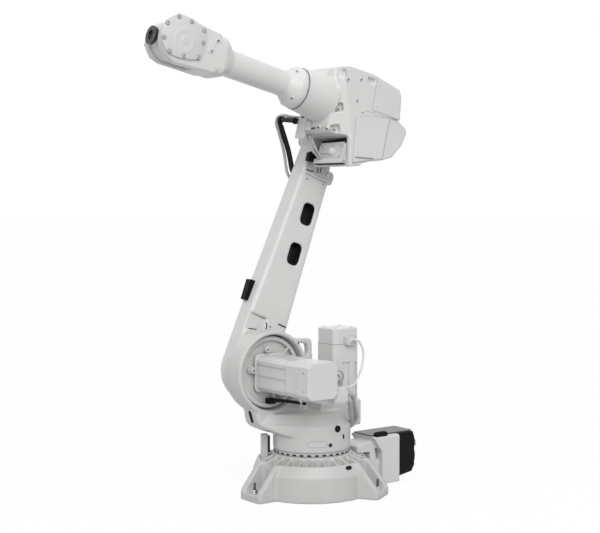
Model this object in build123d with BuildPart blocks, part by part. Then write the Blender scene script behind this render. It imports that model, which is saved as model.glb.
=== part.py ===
# Six-axis industrial robot arm, millimetres.
# Origin on the floor under the base axis, X forward, Y to the motor side, Z up.
import os
from math import cos, radians, sin, tan

from build123d import *

os.makedirs("parts", exist_ok=True)

# Arm geometry
shoulder_x = 150
shoulder_z = 445
lower_arm_length = 900
elbow_offset = 115
elbow_to_wrist = 795
wrist_to_flange = 85
lean_angle = 20
pitch_angle = 13.6

# Base
drum_r = 215
skirt_h = 88
rim_h = 128
rim_chamfer = 16
rim_w = 9
groove_depth = 20
hub_r = 148
hub_h = 150
rib_count = 24
rib_t = 9
rib_drop = 3
foot_count = 3
foot_out = 65
foot_w = 124
foot_pocket_w = 74
foot_corner_r = 14
foot_plate_t = 26
foot_bolt_in = 24
foot_bolt_r = 9
foot_wall_run = 78
rim_slot_turn = 93
rim_slot_z = 117
rim_slot_l = 28
rim_slot_w = 13
rim_slot_depth = 14
stop_post_w = 24
stop_post_l = 30
stop_post_turn = -29
stop_post_top = 215
stop_strip_t = 8
stop_strip_inset = 6

# Rear connection housing
box_l = 128
box_near_y = 100
box_far_y = -40
box_top_z = 186
box_base_z = 6
box_slope = 42
box_slope_h = 60
neck_inset = 24
plug_block_t = 86
plug_block_inset = 14
plug_block_base_z = 22
plug_block_chin = 34
cover_plate_t = 5
cover_margin = 4
cover_near_in = 24
release_l = 56
release_w = 18
release_h = 14
release_in = 12

# Turret
turret_gap = 12
hub_clear = 0.4
bearing_r = 118
turret_r = 142
turret_top_z = 262
crown_h = 36
cheek_r = 152
cheek_front_y = -28
cheek_t = 90
recess_wall = 15
recess_depth = 52
nose_x = 237
nose_top_z = 336
nose_front_z = 264
nose_rise = 42
nose_lean = 22
crown_taper = 38
nose_run = 95
nose_round = 34
nose_slot_l = 46
nose_slot_w = 13
nose_slot_depth = 16
platform_w = 136
platform_top_z = 330
platform_base_z = 236
platform_round = 24
eye_rear_x = -46
eye_front_x = 79
eye_top_z = 562
eye_wall = 21
eye_round = 18
eye_t = 26
turret_plug_r = 12
turret_plug_turn = 92.8
turret_plug_z = 248
turret_plug_out = 3

# Axis one motor
motor_one_x = -122
motor_one_w = 118
motor_one_split_z = 538
motor_one_top_z = 596
motor_chamfer = 16
motor_plug_l = 44
motor_plug_h = 32
motor_plug_t = 18
motor_plug_up = 14

# Axis two motor
motor_two_w = 130
motor_two_step = 2
motor_two_split_y = 196
motor_two_end_y = 258
gear_clear = 7
gear_disc_t = 16
ear_r = 13
ear_reach = 84
ear_t = 12
ear_turns = [86, 9]
connector_l = 58
connector_w = 40
connector_h = 62
connector_up = -58

# Hoses on the turret
hose_r = 9
hose_pitch = 21
motor_cable_r = 4

# Lower arm
arm_gap = 6
arm_hub_r = 100
arm_t = 80
arm_foot_r = 118
arm_head_r = 62
arm_head_back = 6
arm_rear = 75
arm_waist = 105
arm_waist_at = 205
arm_slim = 80
arm_slim_at = 469
arm_neck = 57
arm_neck_at = 746
arm_round = 12
arm_hole_w = 56
arm_hole_l = 84
arm_hole_r = 20
arm_hole_places = [(-21, 611), (-14, 452)]
arm_pocket_depth = 9
arm_pocket_rear = 20
arm_pocket_at = 119
arm_pocket_h = 74
lip_at = 755
lip_h = 12
lip_out = 5
head_recess_w = 84
head_recess_h = 62
knob_w = 30
knob_h = 37
clip_at = 271
clip_l = 78
clip_w = 26
clip_out = 10

# Upper arm housing
housing_side_y = 100
housing_far_y = -112
housing_front = 140
housing_top = 239
front_drop = 9
front_slope = 32
cover_split = -20
cover_level = 110
shelf_under = -8
bay_wall = 20
bay_lip = 11
bay_back = -15
bay_mouth = 60
bay_mouth_low = 36
housing_heel = -116
core_rear = -110
core_low = -55
belly_at = -57
belly_up = -72
corner_low_up = 17
corner_side_y = 60
boss_root_r = 92
cup_r = 76
roll_seam = 260
roll_gap = 0.6
saddle_run = 42
saddle_half_w = 52
saddle_drop = 13
pocket_w = 34
pocket_h = 30
pocket_depth = 18
side_pocket_at = 8
side_pocket_up = 212

# Rear covers of the housing
upper_cover_rear = -163
upper_cover_shoulder = 222
upper_cover_round = 22
lower_cover_rear = -205
lower_cover_level = 104
lower_cover_out_up = 72
lower_cover_toe = -33
lower_cover_toe_at = -155
cover_inset = 3
side_plate_t = 3

# Gear and motor at the elbow
elbow_gear_r = 62
elbow_block_l = 42
elbow_block_near_y = 66
elbow_block_far_y = -44
elbow_block_up = -26
elbow_bump_r = 17
elbow_bump_l = 12

# Cable bracket, conduit and swivel on the far side
bracket_t = 6
bracket_near_y = -60
bracket_clear = 11
bracket_low = -32
bracket_high = 55
clamp_far_y = -240
clamp_low = 28
clamp_h = 20
clamp_w = 38
conduit_y = -228
conduit_r = 10
signal_cable_r = 5.5
signal_cable_aside = 18
swivel_r = 26
swivel_base_t = 8
swivel_cap_t = 44

# Forearm and wrist
cup_straight = 22
cup_end = 326
tube_root_r = 45.5
tube_tip_r = 48
tube_end = 572
lug_count = 6
lug_w = 26
lug_l = 22
lug_out = 1
wrist_body_start = 618
wrist_body_r = 69
fork_r = 80
fork_far_r = 72
fork_outer_y = 70
fork_far_y = -58
fork_slot_y = 36
fork_swing_r = 96
wrist_round = 30
wrist_cover_t = 8
wrist_cover_r = 68
wrist_cover_round = 3
tilt_r = 62
tilt_clear = 2
tilt_hub_r = 40
neck_r = 30
flange_r = 31.5
flange_t = 12
flange_hole_pcd_r = 25
flange_hole_r = 3.5
flange_bore_r = 15.75
flange_bore_depth = 6

lean = radians(lean_angle)
pitch = radians(pitch_angle)
elbow_x = shoulder_x - lower_arm_length * sin(lean)
elbow_z = shoulder_z + lower_arm_length * cos(lean)
groove_r = drum_r - rim_chamfer - rim_w
groove_z = rim_h - groove_depth
foot_reach = drum_r + foot_out
box_front_x = -drum_r
box_rear_x = box_front_x - box_l
turret_base_z = hub_h + turret_gap
cheek_back_y = cheek_front_y - cheek_t
recess_r = cheek_r - recess_wall
recess_floor_y = cheek_front_y - recess_depth
arm_near_y = cheek_back_y - arm_gap
bracket_far_y = arm_near_y + bracket_clear
arm_far_y = arm_near_y - arm_t


def side_plane(x, z, angle, y):
    """Upright plane tipped up by angle; its normal points to the far side."""
    a = radians(angle)
    return Plane(origin=(x, y, z), x_dir=(cos(a), 0, sin(a)), z_dir=(0, -1, 0))


def world_side(y):
    return side_plane(0, 0, 0, y)


def shoulder_side(y):
    return side_plane(shoulder_x, shoulder_z, 0, y)


def arm_side(y):
    return side_plane(shoulder_x, shoulder_z, lean_angle, y)


def fore_side(y):
    return side_plane(elbow_x, elbow_z, pitch_angle, y)


def fore_point(along, up, y=0):
    """World point from a place along and above the forearm's elbow line."""
    x = elbow_x + along * cos(pitch) - up * sin(pitch)
    z = elbow_z + along * sin(pitch) + up * cos(pitch)
    return (x, y, z)


def fore_direction(along, up, side):
    return (along * cos(pitch) - up * sin(pitch), side, along * sin(pitch) + up * cos(pitch))


def fore_section(along, up=elbow_offset):
    """Plane across the forearm, X to the motor side and Y up."""
    return Plane(origin=fore_point(along, up), x_dir=(0, 1, 0), z_dir=fore_direction(1, 0, 0))


fore_axis = Axis(fore_point(0, elbow_offset), fore_direction(1, 0, 0))


def bend_radii(points):
    """Largest bend at each corner of a route that leaves its runs a straight middle."""
    runs = [Vector(*b) - Vector(*a) for a, b in zip(points, points[1:])]
    radii = []
    for before, after in zip(runs, runs[1:]):
        half_turn = radians(before.get_angle(after)) / 2
        radii.append(0.45 * min(before.length, after.length) / tan(half_turn))
    return radii


def hose(points, radius):
    with BuildPart() as tube:
        with BuildLine() as route:
            FilletPolyline(*points, radius=bend_radii(points))
        with BuildSketch(route.line ^ 0):
            Circle(radius)
        sweep()
    return tube


def save(builder, name):
    builder.part.label = name.replace("_", " ")
    export_step(builder.part, "parts/" + name + ".step")


# Base casting: turned drum, ribbed top and three bolted feet
with BuildPart() as base_rib:
    with BuildSketch(Plane.XZ.offset(-rib_t / 2)):
        with BuildLine():
            Polyline(
                (hub_r - 8, groove_z - 4),
                (groove_r + 4, groove_z - 4),
                (groove_r + 4, rim_h - rib_drop),
                (hub_r - 8, hub_h - rib_drop),
                close=True,
            )
        make_face()
    extrude(amount=rib_t)

foot_root = groove_r + 5
with BuildPart() as foot_block:
    with BuildSketch(Plane.XZ.offset(-foot_w / 2)):
        with BuildLine():
            Polyline(
                (foot_root, 0),
                (foot_reach, 0),
                (foot_reach, foot_plate_t),
                (foot_reach - foot_wall_run, rim_h - 2),
                (foot_root, rim_h - 2),
                close=True,
            )
        make_face()
    extrude(amount=foot_w)
    fillet(foot_block.edges().filter_by(Axis.Z).group_by(Axis.X)[-1], foot_corner_r)

slot_turn = radians(rim_slot_turn)
slope_r = drum_r - rim_chamfer * (rim_slot_z - skirt_h) / (rim_h - skirt_h)
rim_slope = Plane(
    origin=(slope_r * cos(slot_turn), slope_r * sin(slot_turn), rim_slot_z),
    x_dir=(-sin(slot_turn), cos(slot_turn), 0),
    z_dir=((rim_h - skirt_h) * cos(slot_turn), (rim_h - skirt_h) * sin(slot_turn), rim_chamfer),
)
foot_pocket_start = drum_r - 25
with BuildPart() as foot_pocket:
    with BuildSketch(Plane.XY.offset(foot_plate_t)):
        with Locations((foot_pocket_start + foot_reach / 2, 0)):
            RectangleRounded(foot_reach, foot_pocket_w, foot_corner_r)
    extrude(amount=rim_h)
    with Locations((foot_reach - foot_bolt_in, 0, foot_plate_t / 2)):
        Cylinder(foot_bolt_r, 2 * foot_plate_t)

with BuildPart() as base_casting:
    with BuildSketch(Plane.XZ):
        with BuildLine():
            Polyline(
                (0, 0),
                (drum_r, 0),
                (drum_r, skirt_h),
                (drum_r - rim_chamfer, rim_h),
                (groove_r, rim_h),
                (groove_r, groove_z),
                (hub_r, groove_z),
                (hub_r, hub_h),
                (0, hub_h),
                close=True,
            )
        make_face()
    revolve(axis=Axis.Z)
    with PolarLocations(0, rib_count, start_angle=180 / rib_count):
        add(base_rib.part)
    with PolarLocations(0, foot_count):
        add(foot_block.part)
    with PolarLocations(0, foot_count):
        add(foot_pocket.part, mode=Mode.SUBTRACT)
    with BuildSketch(rim_slope):
        SlotOverall(rim_slot_l, rim_slot_w)
    extrude(amount=rim_slot_depth, both=True, mode=Mode.SUBTRACT)
save(base_casting, "base_casting")

# Rear connection housing: sloped front, narrow neck to the drum
with BuildPart() as rear_housing:
    with BuildSketch(world_side(box_near_y)):
        with BuildLine():
            Polyline(
                (box_rear_x, box_base_z),
                (box_front_x - box_slope, box_base_z),
                (box_front_x - box_slope, box_top_z - box_slope_h),
                (box_front_x, box_top_z),
                (box_rear_x, box_top_z),
                close=True,
            )
        make_face()
    extrude(amount=box_near_y - box_far_y)
    with BuildSketch(world_side(box_near_y - neck_inset)):
        with BuildLine():
            Polyline(
                (box_front_x - box_slope - 10, box_base_z),
                (-drum_r - 1, box_base_z),
                (-drum_r - 1, rim_h + 1),
                (-hub_r - 6, rim_h + 1),
                (-hub_r - 6, box_top_z - 30),
                (box_front_x - 20, box_top_z - 12),
                close=True,
            )
        make_face()
    extrude(amount=box_near_y - box_far_y - 2 * neck_inset)
    add(base_casting.part, mode=Mode.SUBTRACT)
    top_edges = rear_housing.faces().sort_by(Axis.Z)[-1].edges().filter_by(Axis.X)
    fillet(top_edges, 8)
save(rear_housing, "rear_housing")

# Plug block at the back
with BuildPart() as plug_block:
    with BuildSketch(world_side(box_near_y - plug_block_inset)):
        with BuildLine():
            Polyline(
                (box_rear_x, plug_block_base_z),
                (box_rear_x - plug_block_t + 14, plug_block_base_z + 12),
                (box_rear_x - plug_block_t, plug_block_base_z + plug_block_chin),
                (box_rear_x - plug_block_t, box_top_z - 22),
                (box_rear_x - plug_block_t + 8, box_top_z),
                (box_rear_x, box_top_z),
                close=True,
            )
        make_face()
    extrude(amount=box_near_y - box_far_y - 2 * plug_block_inset)
save(plug_block, "plug_block")

# Dark cover plate over the rear housing
cover_plate_l = box_l + plug_block_t - 2 * cover_margin
cover_plate_w = box_near_y - box_far_y - cover_near_in - plug_block_inset
cover_mid_y = box_near_y - cover_near_in - cover_plate_w / 2
with BuildPart() as cover_plate:
    with BuildSketch(Plane.XY.offset(box_top_z)):
        with Locations((box_front_x - cover_margin - cover_plate_l / 2, cover_mid_y)):
            RectangleRounded(cover_plate_l, cover_plate_w, 8)
    extrude(amount=cover_plate_t)
save(cover_plate, "cover_plate")

# Brake release box on the housing's near edge
with BuildPart() as brake_release:
    with BuildSketch(Plane.XY.offset(box_top_z)):
        with Locations((box_front_x - box_l / 3, box_near_y - release_in)):
            RectangleRounded(release_l, release_w, 3)
    extrude(amount=release_h)
save(brake_release, "brake_release")

# Stop post of the base axis, with the rubber strip on its side
stop_post_r = (hub_r + groove_r) / 2 + 6
with BuildPart() as stop_post:
    with BuildSketch(Plane.XY.offset(groove_z)):
        with Locations(Location((0, 0, 0), (0, 0, stop_post_turn))):
            with Locations((stop_post_r, 0)):
                RectangleRounded(stop_post_w, stop_post_l, 4)
    extrude(amount=stop_post_top - groove_z)
    add(base_casting.part, mode=Mode.SUBTRACT)
save(stop_post, "stop_post")

with BuildPart() as stop_strip:
    with BuildSketch(Plane.XY.offset(hub_h)):
        with Locations(Location((0, 0, 0), (0, 0, stop_post_turn))):
            with Locations((stop_post_r - (stop_post_w + stop_strip_t) / 2, 0)):
                Rectangle(stop_strip_t, stop_post_l - 4)
    extrude(amount=stop_post_top - stop_strip_inset - hub_h)
save(stop_strip, "stop_strip")

# Turret: drum with a sloped crown, rising nose, motor platform, cheek with its recess
with BuildPart() as turret_casting:
    with BuildSketch(Plane.XY.offset(hub_h + hub_clear)):
        Circle(bearing_r)
    extrude(amount=turret_gap)
    with BuildSketch(Plane.XZ):
        with BuildLine():
            Polyline(
                (0, turret_base_z),
                (turret_r - 3, turret_base_z),
                (turret_r, turret_base_z + 4),
                (turret_r, turret_top_z - 6),
                (turret_r - 6, turret_top_z),
                (0, turret_top_z),
                close=True,
            )
        make_face()
    revolve(axis=Axis.Z)
    with BuildSketch(Plane.XY.offset(nose_front_z - nose_rise)):
        Circle(turret_r - 2)
        with Locations((nose_x / 2, (cheek_front_y + cheek_back_y) / 2)):
            RectangleRounded(nose_x, cheek_t, nose_round)
        make_hull()
    extrude(amount=turret_top_z - nose_front_z + nose_rise)
    with BuildSketch(Plane.XY.offset(turret_top_z)):
        Circle(turret_r - 8)
        with Locations((nose_x / 2 - 6, (cheek_front_y + cheek_back_y) / 2)):
            RectangleRounded(nose_x - 12, cheek_t, nose_round)
        make_hull()
    extrude(amount=crown_h, taper=crown_taper)
    with BuildSketch(Plane.XY.offset(turret_top_z)):
        with Locations((nose_x / 2, (cheek_front_y + cheek_back_y) / 2)):
            RectangleRounded(nose_x, cheek_t, nose_round)
    extrude(amount=nose_top_z - turret_top_z)
    with BuildSketch(world_side(turret_r)):
        with BuildLine():
            Polyline(
                (nose_x - nose_run, nose_front_z - nose_rise - 1),
                (nose_x - nose_lean - 18, nose_front_z - 18),
                (nose_x - nose_lean, nose_front_z),
                (nose_x, nose_top_z),
                (nose_x + 20, nose_top_z),
                (nose_x + 20, nose_front_z - nose_rise - 1),
                close=True,
            )
        make_face()
    extrude(amount=2 * turret_r, mode=Mode.SUBTRACT)
    with BuildSketch(world_side(cheek_back_y)):
        with Locations((nose_x, (turret_base_z + nose_top_z) / 2)):
            Rectangle(nose_x, nose_top_z - turret_base_z)
    extrude(amount=cheek_t, mode=Mode.SUBTRACT)
    with BuildSketch(Plane.XY.offset(platform_base_z)):
        with Locations((motor_one_x, 0)):
            RectangleRounded(platform_w, platform_w, platform_round)
        with Locations((motor_one_x / 2, 0)):
            Rectangle(-motor_one_x, platform_w - platform_round)
    extrude(amount=platform_top_z - platform_base_z)
    with BuildSketch(world_side(cheek_front_y)):
        with BuildLine():
            Polyline(
                (nose_x - nose_round, nose_front_z + 30),
                (nose_x, nose_top_z),
                (shoulder_x + cheek_r * 0.96, shoulder_z - cheek_r * 0.28),
                (shoulder_x, shoulder_z),
                (shoulder_x - cheek_r * 0.8, shoulder_z + cheek_r * 0.6),
                (motor_one_x / 2, platform_top_z),
                (motor_one_x / 2, nose_front_z + 30),
                close=True,
            )
        make_face()
        with Locations((shoulder_x, shoulder_z)):
            Circle(cheek_r)
    extrude(amount=cheek_t)
    with BuildSketch(world_side(cheek_front_y - cheek_t / 4)):
        with BuildLine():
            eye_outline = FilletPolyline(
                (shoulder_x - cheek_r * 0.3, shoulder_z + cheek_r * 0.6),
                (eye_front_x, eye_top_z),
                (eye_rear_x + 6, eye_top_z - 6),
                (eye_rear_x, shoulder_z + 20),
                (eye_rear_x + 70, shoulder_z - 50),
                radius=eye_round,
                close=True,
            )
        make_face()
        with BuildLine():
            eye_hole = FilletPolyline(
                (eye_front_x - 52, eye_top_z - eye_wall + 3),
                (eye_rear_x + eye_wall + 6, eye_top_z - eye_wall - 5),
                (eye_rear_x + eye_wall, shoulder_z + 44),
                (eye_front_x - 60, shoulder_z + 66),
                radius=eye_round / 2,
                close=True,
            )
        make_face(mode=Mode.SUBTRACT)
    extrude(amount=eye_t)
    with BuildSketch(shoulder_side(cheek_front_y + 2 * cheek_t)):
        Circle(recess_r)
    extrude(amount=recess_depth + 2 * cheek_t, mode=Mode.SUBTRACT)
    with BuildSketch(Plane.YZ.offset(nose_x - nose_lean - nose_slot_depth)):
        with Locations(((cheek_front_y + cheek_back_y) / 2, (nose_front_z + nose_top_z) / 2 - 14)):
            SlotOverall(nose_slot_l, nose_slot_w, rotation=90)
    extrude(amount=3 * nose_slot_depth, mode=Mode.SUBTRACT)
save(turret_casting, "turret_casting")

# Motor of the base axis
with BuildPart() as axis_one_motor:
    with BuildSketch(Plane.XY.offset(platform_top_z)):
        with Locations((motor_one_x, 0)):
            Rectangle(motor_one_w, motor_one_w)
        chamfer(vertices(), motor_chamfer)
    extrude(amount=motor_one_split_z - platform_top_z)
save(axis_one_motor, "axis_one_motor")

with BuildPart() as axis_one_motor_cap:
    with BuildSketch(Plane.XY.offset(motor_one_split_z)):
        with Locations((motor_one_x, 0)):
            Rectangle(motor_one_w - motor_two_step, motor_one_w - motor_two_step)
        chamfer(vertices(), motor_chamfer)
    extrude(amount=motor_one_top_z - motor_one_split_z)
    fillet(axis_one_motor_cap.faces().sort_by(Axis.Z)[-1].edges(), 5)
save(axis_one_motor_cap, "axis_one_motor_cap")

with BuildPart() as axis_one_motor_plug:
    with BuildSketch(world_side(motor_one_w / 2 + motor_plug_t)):
        with Locations((motor_one_x - 4, motor_one_split_z + motor_plug_up)):
            RectangleRounded(motor_plug_l, motor_plug_h, 6)
    extrude(amount=motor_plug_t - 1)
    with BuildSketch(world_side(motor_one_w / 2 + motor_plug_t)):
        with Locations((motor_one_x - 4, motor_one_split_z + motor_plug_up)):
            RectangleRounded(motor_plug_l - 14, motor_plug_h - 8, 4)
    extrude(amount=motor_plug_t)
save(axis_one_motor_plug, "axis_one_motor_plug")

# Sealing plug in the turret's side
plug_turn = radians(turret_plug_turn)
plug_plane = Plane(origin=(0, 0, turret_plug_z), z_dir=(cos(plug_turn), sin(plug_turn), 0))
with BuildPart() as turret_plug:
    with BuildSketch(plug_plane.offset(turret_r - 12)):
        Circle(turret_plug_r)
    extrude(amount=12 + turret_plug_out)
    add(turret_casting.part, mode=Mode.SUBTRACT)
save(turret_plug, "turret_plug")

# Gear unit face and motor of the shoulder axis
gear_disc_r = recess_r - gear_clear
with BuildPart() as shoulder_gear_face:
    with BuildSketch(shoulder_side(recess_floor_y + gear_disc_t)):
        Circle(gear_disc_r)
    extrude(amount=gear_disc_t)
    with BuildSketch(shoulder_side(recess_floor_y + gear_disc_t + ear_t)):
        with Locations(*[(ear_reach * cos(radians(a)), ear_reach * sin(radians(a))) for a in ear_turns]):
            Circle(ear_r)
    extrude(amount=ear_t)
save(shoulder_gear_face, "shoulder_gear_face")

with BuildPart() as shoulder_motor:
    with BuildSketch(shoulder_side(motor_two_split_y)):
        Rectangle(motor_two_w - 2 * motor_two_step, motor_two_w - 2 * motor_two_step)
        chamfer(vertices(), motor_chamfer)
    extrude(amount=motor_two_split_y - recess_floor_y - gear_disc_t)
save(shoulder_motor, "shoulder_motor")

with BuildPart() as shoulder_motor_cap:
    with BuildSketch(shoulder_side(motor_two_end_y)):
        Rectangle(motor_two_w, motor_two_w)
        chamfer(vertices(), motor_chamfer)
    extrude(amount=motor_two_end_y - motor_two_split_y)
    fillet(shoulder_motor_cap.faces().sort_by(Axis.Y)[-1].edges(), 4)
save(shoulder_motor_cap, "shoulder_motor_cap")

# Connector box behind the shoulder motor
connector_y = motor_two_split_y + connector_w / 2 + 6
connector_x = shoulder_x - motor_two_w / 2
with BuildPart() as motor_connector:
    with BuildSketch(world_side(connector_y + connector_w / 2)):
        with Locations((connector_x - connector_l / 2, shoulder_z + connector_up)):
            RectangleRounded(connector_l, connector_h, 8)
    extrude(amount=connector_w)
save(motor_connector, "motor_connector")


# Hoses from the connector box down into the turret, and the cable of the upright motor
hose_start_x = connector_x - connector_l
hose_start_z = shoulder_z + connector_up - connector_h / 2 + 16
for name, inside in (("turret_hose_one", 0), ("turret_hose_two", hose_pitch)):
    hose_route = [
        (hose_start_x, connector_y - 2, hose_start_z + hose_pitch - inside),
        (hose_start_x - 50 + inside / 2, connector_y - 16, hose_start_z + 8 - inside),
        (hose_start_x - 106 + inside, 152, hose_start_z - 46 - inside),
        (motor_one_x - 10 + inside, 100, turret_top_z + 10 - inside / 2),
        (motor_one_x - 6 + inside, 78, turret_top_z - 22),
        (motor_one_x + 22 + inside / 2, 56, turret_top_z - 36),
    ]
    turret_hose = hose(hose_route, hose_r)
    with BuildPart() as fitted_hose:
        add(turret_hose.part)
        add(turret_casting.part, mode=Mode.SUBTRACT)
        add(motor_connector.part, mode=Mode.SUBTRACT)
    save(fitted_hose, name)

motor_cable_y = motor_one_w / 2 + motor_plug_t
motor_cable_route = [
    (motor_one_x - 4, motor_cable_y, motor_one_split_z + motor_plug_up),
    (motor_one_x - 16, motor_cable_y + 20, motor_one_split_z + motor_plug_up + 6),
    (motor_one_x - 44, motor_cable_y + 22, motor_one_split_z - 22),
    (motor_one_x - 30, motor_cable_y + 30, motor_one_split_z - 82),
    (motor_one_x + 28, motor_cable_y + 60, shoulder_z - 40),
    (hose_start_x - 34, connector_y + 4, shoulder_z + connector_up + 26),
    (hose_start_x, connector_y + 12, shoulder_z + connector_up + 22),
]
motor_cable_tube = hose(motor_cable_route, motor_cable_r)
with BuildPart() as motor_cable:
    add(motor_cable_tube.part)
    add(motor_connector.part, mode=Mode.SUBTRACT)
    add(axis_one_motor_plug.part, mode=Mode.SUBTRACT)
save(motor_cable, "motor_cable")

# Lower arm: tapered casting with two windows, a pocket above the foot and a lip at the head
with BuildPart() as lower_arm_casting:
    with BuildSketch(arm_side(arm_near_y)):
        Circle(arm_foot_r)
        with Locations((-arm_head_back, lower_arm_length)):
            Circle(arm_head_r)
        with BuildLine():
            Polyline(
                (-arm_rear, 0),
                (arm_foot_r * 0.998, 6),
                (arm_waist, arm_waist_at),
                (arm_slim, arm_slim_at),
                (arm_neck, arm_neck_at),
                (arm_head_r * 0.7, lower_arm_length),
                (-arm_head_r * 0.9, lower_arm_length),
                (-arm_rear, arm_neck_at),
                close=True,
            )
        make_face()
    extrude(amount=arm_t)
    fillet(lower_arm_casting.faces().filter_by(Axis.Y).edges(), arm_round)
    with BuildSketch(arm_side(arm_near_y)):
        with Locations(*arm_hole_places):
            RectangleRounded(arm_hole_w, arm_hole_l, arm_hole_r)
    extrude(amount=arm_t, mode=Mode.SUBTRACT)
    with BuildSketch(arm_side(arm_near_y)):
        with BuildLine():
            Polyline(
                (arm_foot_r + 20, arm_pocket_at),
                (arm_foot_r + 20, arm_pocket_at + arm_pocket_h),
                (arm_pocket_rear + 4, arm_pocket_at + arm_pocket_h - 4),
                (arm_pocket_rear, arm_pocket_at + 22),
                close=True,
            )
        make_face()
        with Locations((0, lip_at + lip_h / 2 + head_recess_h / 2)):
            RectangleRounded(head_recess_w, head_recess_h, 8)
    extrude(amount=arm_pocket_depth, mode=Mode.SUBTRACT)
    with BuildSketch(arm_side(arm_near_y + lip_out)):
        with Locations(((arm_neck - arm_rear) / 2 - 6, lip_at)):
            RectangleRounded(arm_neck + arm_rear + 12, lip_h, 4)
        with Locations((-arm_rear + 2, lip_at + knob_h / 2)):
            RectangleRounded(knob_w, knob_h, 9)
    extrude(amount=arm_t / 2)
    with BuildSketch(arm_side(cheek_back_y - hub_clear)):
        Circle(arm_hub_r)
    extrude(amount=arm_gap)
save(lower_arm_casting, "lower_arm_casting")

# Clip on the lower arm's front edge
clip_x = arm_waist + (arm_slim - arm_waist) * (clip_at - arm_waist_at) / (arm_slim_at - arm_waist_at)
with BuildPart() as arm_clip:
    with BuildSketch(arm_side(arm_far_y + clip_w + arm_round)):
        with Locations((clip_x + clip_out / 2, clip_at)):
            RectangleRounded(3 * clip_out, clip_l, 4)
    extrude(amount=clip_w)
    add(lower_arm_casting.part, mode=Mode.SUBTRACT)
save(arm_clip, "arm_clip")

# Elbow gear between the lower arm and the housing
with BuildPart() as elbow_gear:
    with BuildSketch(fore_side(housing_far_y)):
        Circle(elbow_gear_r)
    extrude(amount=housing_far_y - arm_near_y - hub_clear)
save(elbow_gear, "elbow_gear")

# Upper arm housing: slanted front corner, bolt pockets, gear bay and the turned boss
corner_top = Vector(*fore_point(housing_front + 3, housing_top - front_drop, housing_side_y))
corner_low = Vector(*fore_point(bay_mouth, corner_low_up, housing_side_y))
corner_side = Vector(*fore_point(housing_front, 0, corner_side_y))
corner_normal = (corner_low - corner_top).cross(corner_side - corner_top)
if corner_normal.Y < 0:
    corner_normal = corner_normal * -1
corner_plane = Plane(origin=corner_top, x_dir=corner_low - corner_top, z_dir=corner_normal)
corner_run = (corner_low - corner_top).length
pocket_places = [(0.13, -11), (0.64, -38), (0.97, -58)]
with BuildPart() as upper_arm_housing:
    with BuildSketch(fore_side(housing_side_y)):
        with BuildLine():
            Polyline(
                (housing_front, housing_top - front_drop),
                (housing_front - front_slope, housing_top - 3),
                (cover_split + 37, housing_top),
                (cover_split, housing_top - 1),
                (cover_split, cover_level),
                (core_rear, cover_level),
                (core_rear, core_low),
                (belly_at, belly_up),
                (bay_mouth_low - 6, housing_heel + 4),
                (bay_mouth_low, housing_heel),
                (bay_mouth, shelf_under),
                (housing_front - 20, shelf_under),
                (housing_front, shelf_under + 18),
                close=True,
            )
        make_face()
    extrude(amount=housing_side_y - housing_far_y)
    with BuildSketch(corner_plane):
        with Locations((corner_run / 2, 0)):
            Rectangle(corner_run * 2.4, corner_run)
    extrude(amount=3 * pocket_w, mode=Mode.SUBTRACT)
    with BuildSketch(fore_side(housing_side_y)):
        with BuildLine():
            Polyline(
                (bay_back, shelf_under),
                (bay_mouth, shelf_under),
                (bay_mouth_low, housing_heel),
                (bay_back, housing_heel + 16),
                close=True,
            )
        make_face()
    extrude(amount=bay_wall)
    with BuildSketch(corner_plane.offset(-pocket_depth)):
        with Locations(*[(corner_run * share, inward) for share, inward in pocket_places]):
            Rectangle(pocket_h, pocket_w)
    extrude(amount=3 * pocket_w, mode=Mode.SUBTRACT)
    with BuildSketch(fore_side(housing_side_y)):
        with Locations((side_pocket_at, side_pocket_up)):
            Rectangle(pocket_w, pocket_h * 0.7)
    extrude(amount=pocket_depth * 0.7, mode=Mode.SUBTRACT)
    with BuildSketch(fore_side(housing_side_y - bay_wall)):
        with BuildLine():
            Polyline(
                (bay_back, shelf_under),
                (housing_front, shelf_under),
                (housing_front, housing_heel + bay_lip),
                (bay_back, housing_heel + bay_lip + 16),
                close=True,
            )
        make_face()
    extrude(amount=housing_side_y - housing_far_y - bay_wall + 1, mode=Mode.SUBTRACT)
    with BuildSketch(fore_side(saddle_half_w)):
        with BuildLine():
            Polyline(
                (housing_front - 10, elbow_offset),
                (housing_front - 10, housing_top - saddle_drop),
                (housing_front + saddle_run * 0.6, housing_top - saddle_drop - 6),
                (housing_front + saddle_run, elbow_offset + boss_root_r - 8),
                (housing_front + saddle_run, elbow_offset),
                close=True,
            )
        make_face()
    extrude(amount=2 * saddle_half_w)
    with BuildSketch(fore_side(0)):
        with BuildLine():
            Polyline(
                (housing_front - 10, elbow_offset),
                (housing_front - 10, elbow_offset + boss_root_r),
                (housing_front + saddle_run, elbow_offset + boss_root_r - 6),
                (roll_seam, elbow_offset + cup_r),
                (roll_seam, elbow_offset),
                close=True,
            )
        make_face()
    revolve(axis=fore_axis)
save(upper_arm_housing, "upper_arm_housing")

# Rear covers of the housing
with BuildPart() as housing_upper_cover:
    with BuildSketch(fore_side(housing_side_y - cover_inset)):
        with BuildLine():
            Polyline(
                (cover_split, housing_top - 1),
                (cover_split - 47, housing_top - 8),
                (upper_cover_rear + 30, upper_cover_shoulder),
                (upper_cover_rear + 14, upper_cover_shoulder - 22),
                (upper_cover_rear, cover_level),
                (cover_split, cover_level),
                close=True,
            )
        make_face()
    extrude(amount=housing_side_y - housing_far_y - 2 * cover_inset)
    fillet(housing_upper_cover.edges().filter_by(Axis.Y).group_by(Axis.X)[0:1][0], 4)
save(housing_upper_cover, "housing_upper_cover")

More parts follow.
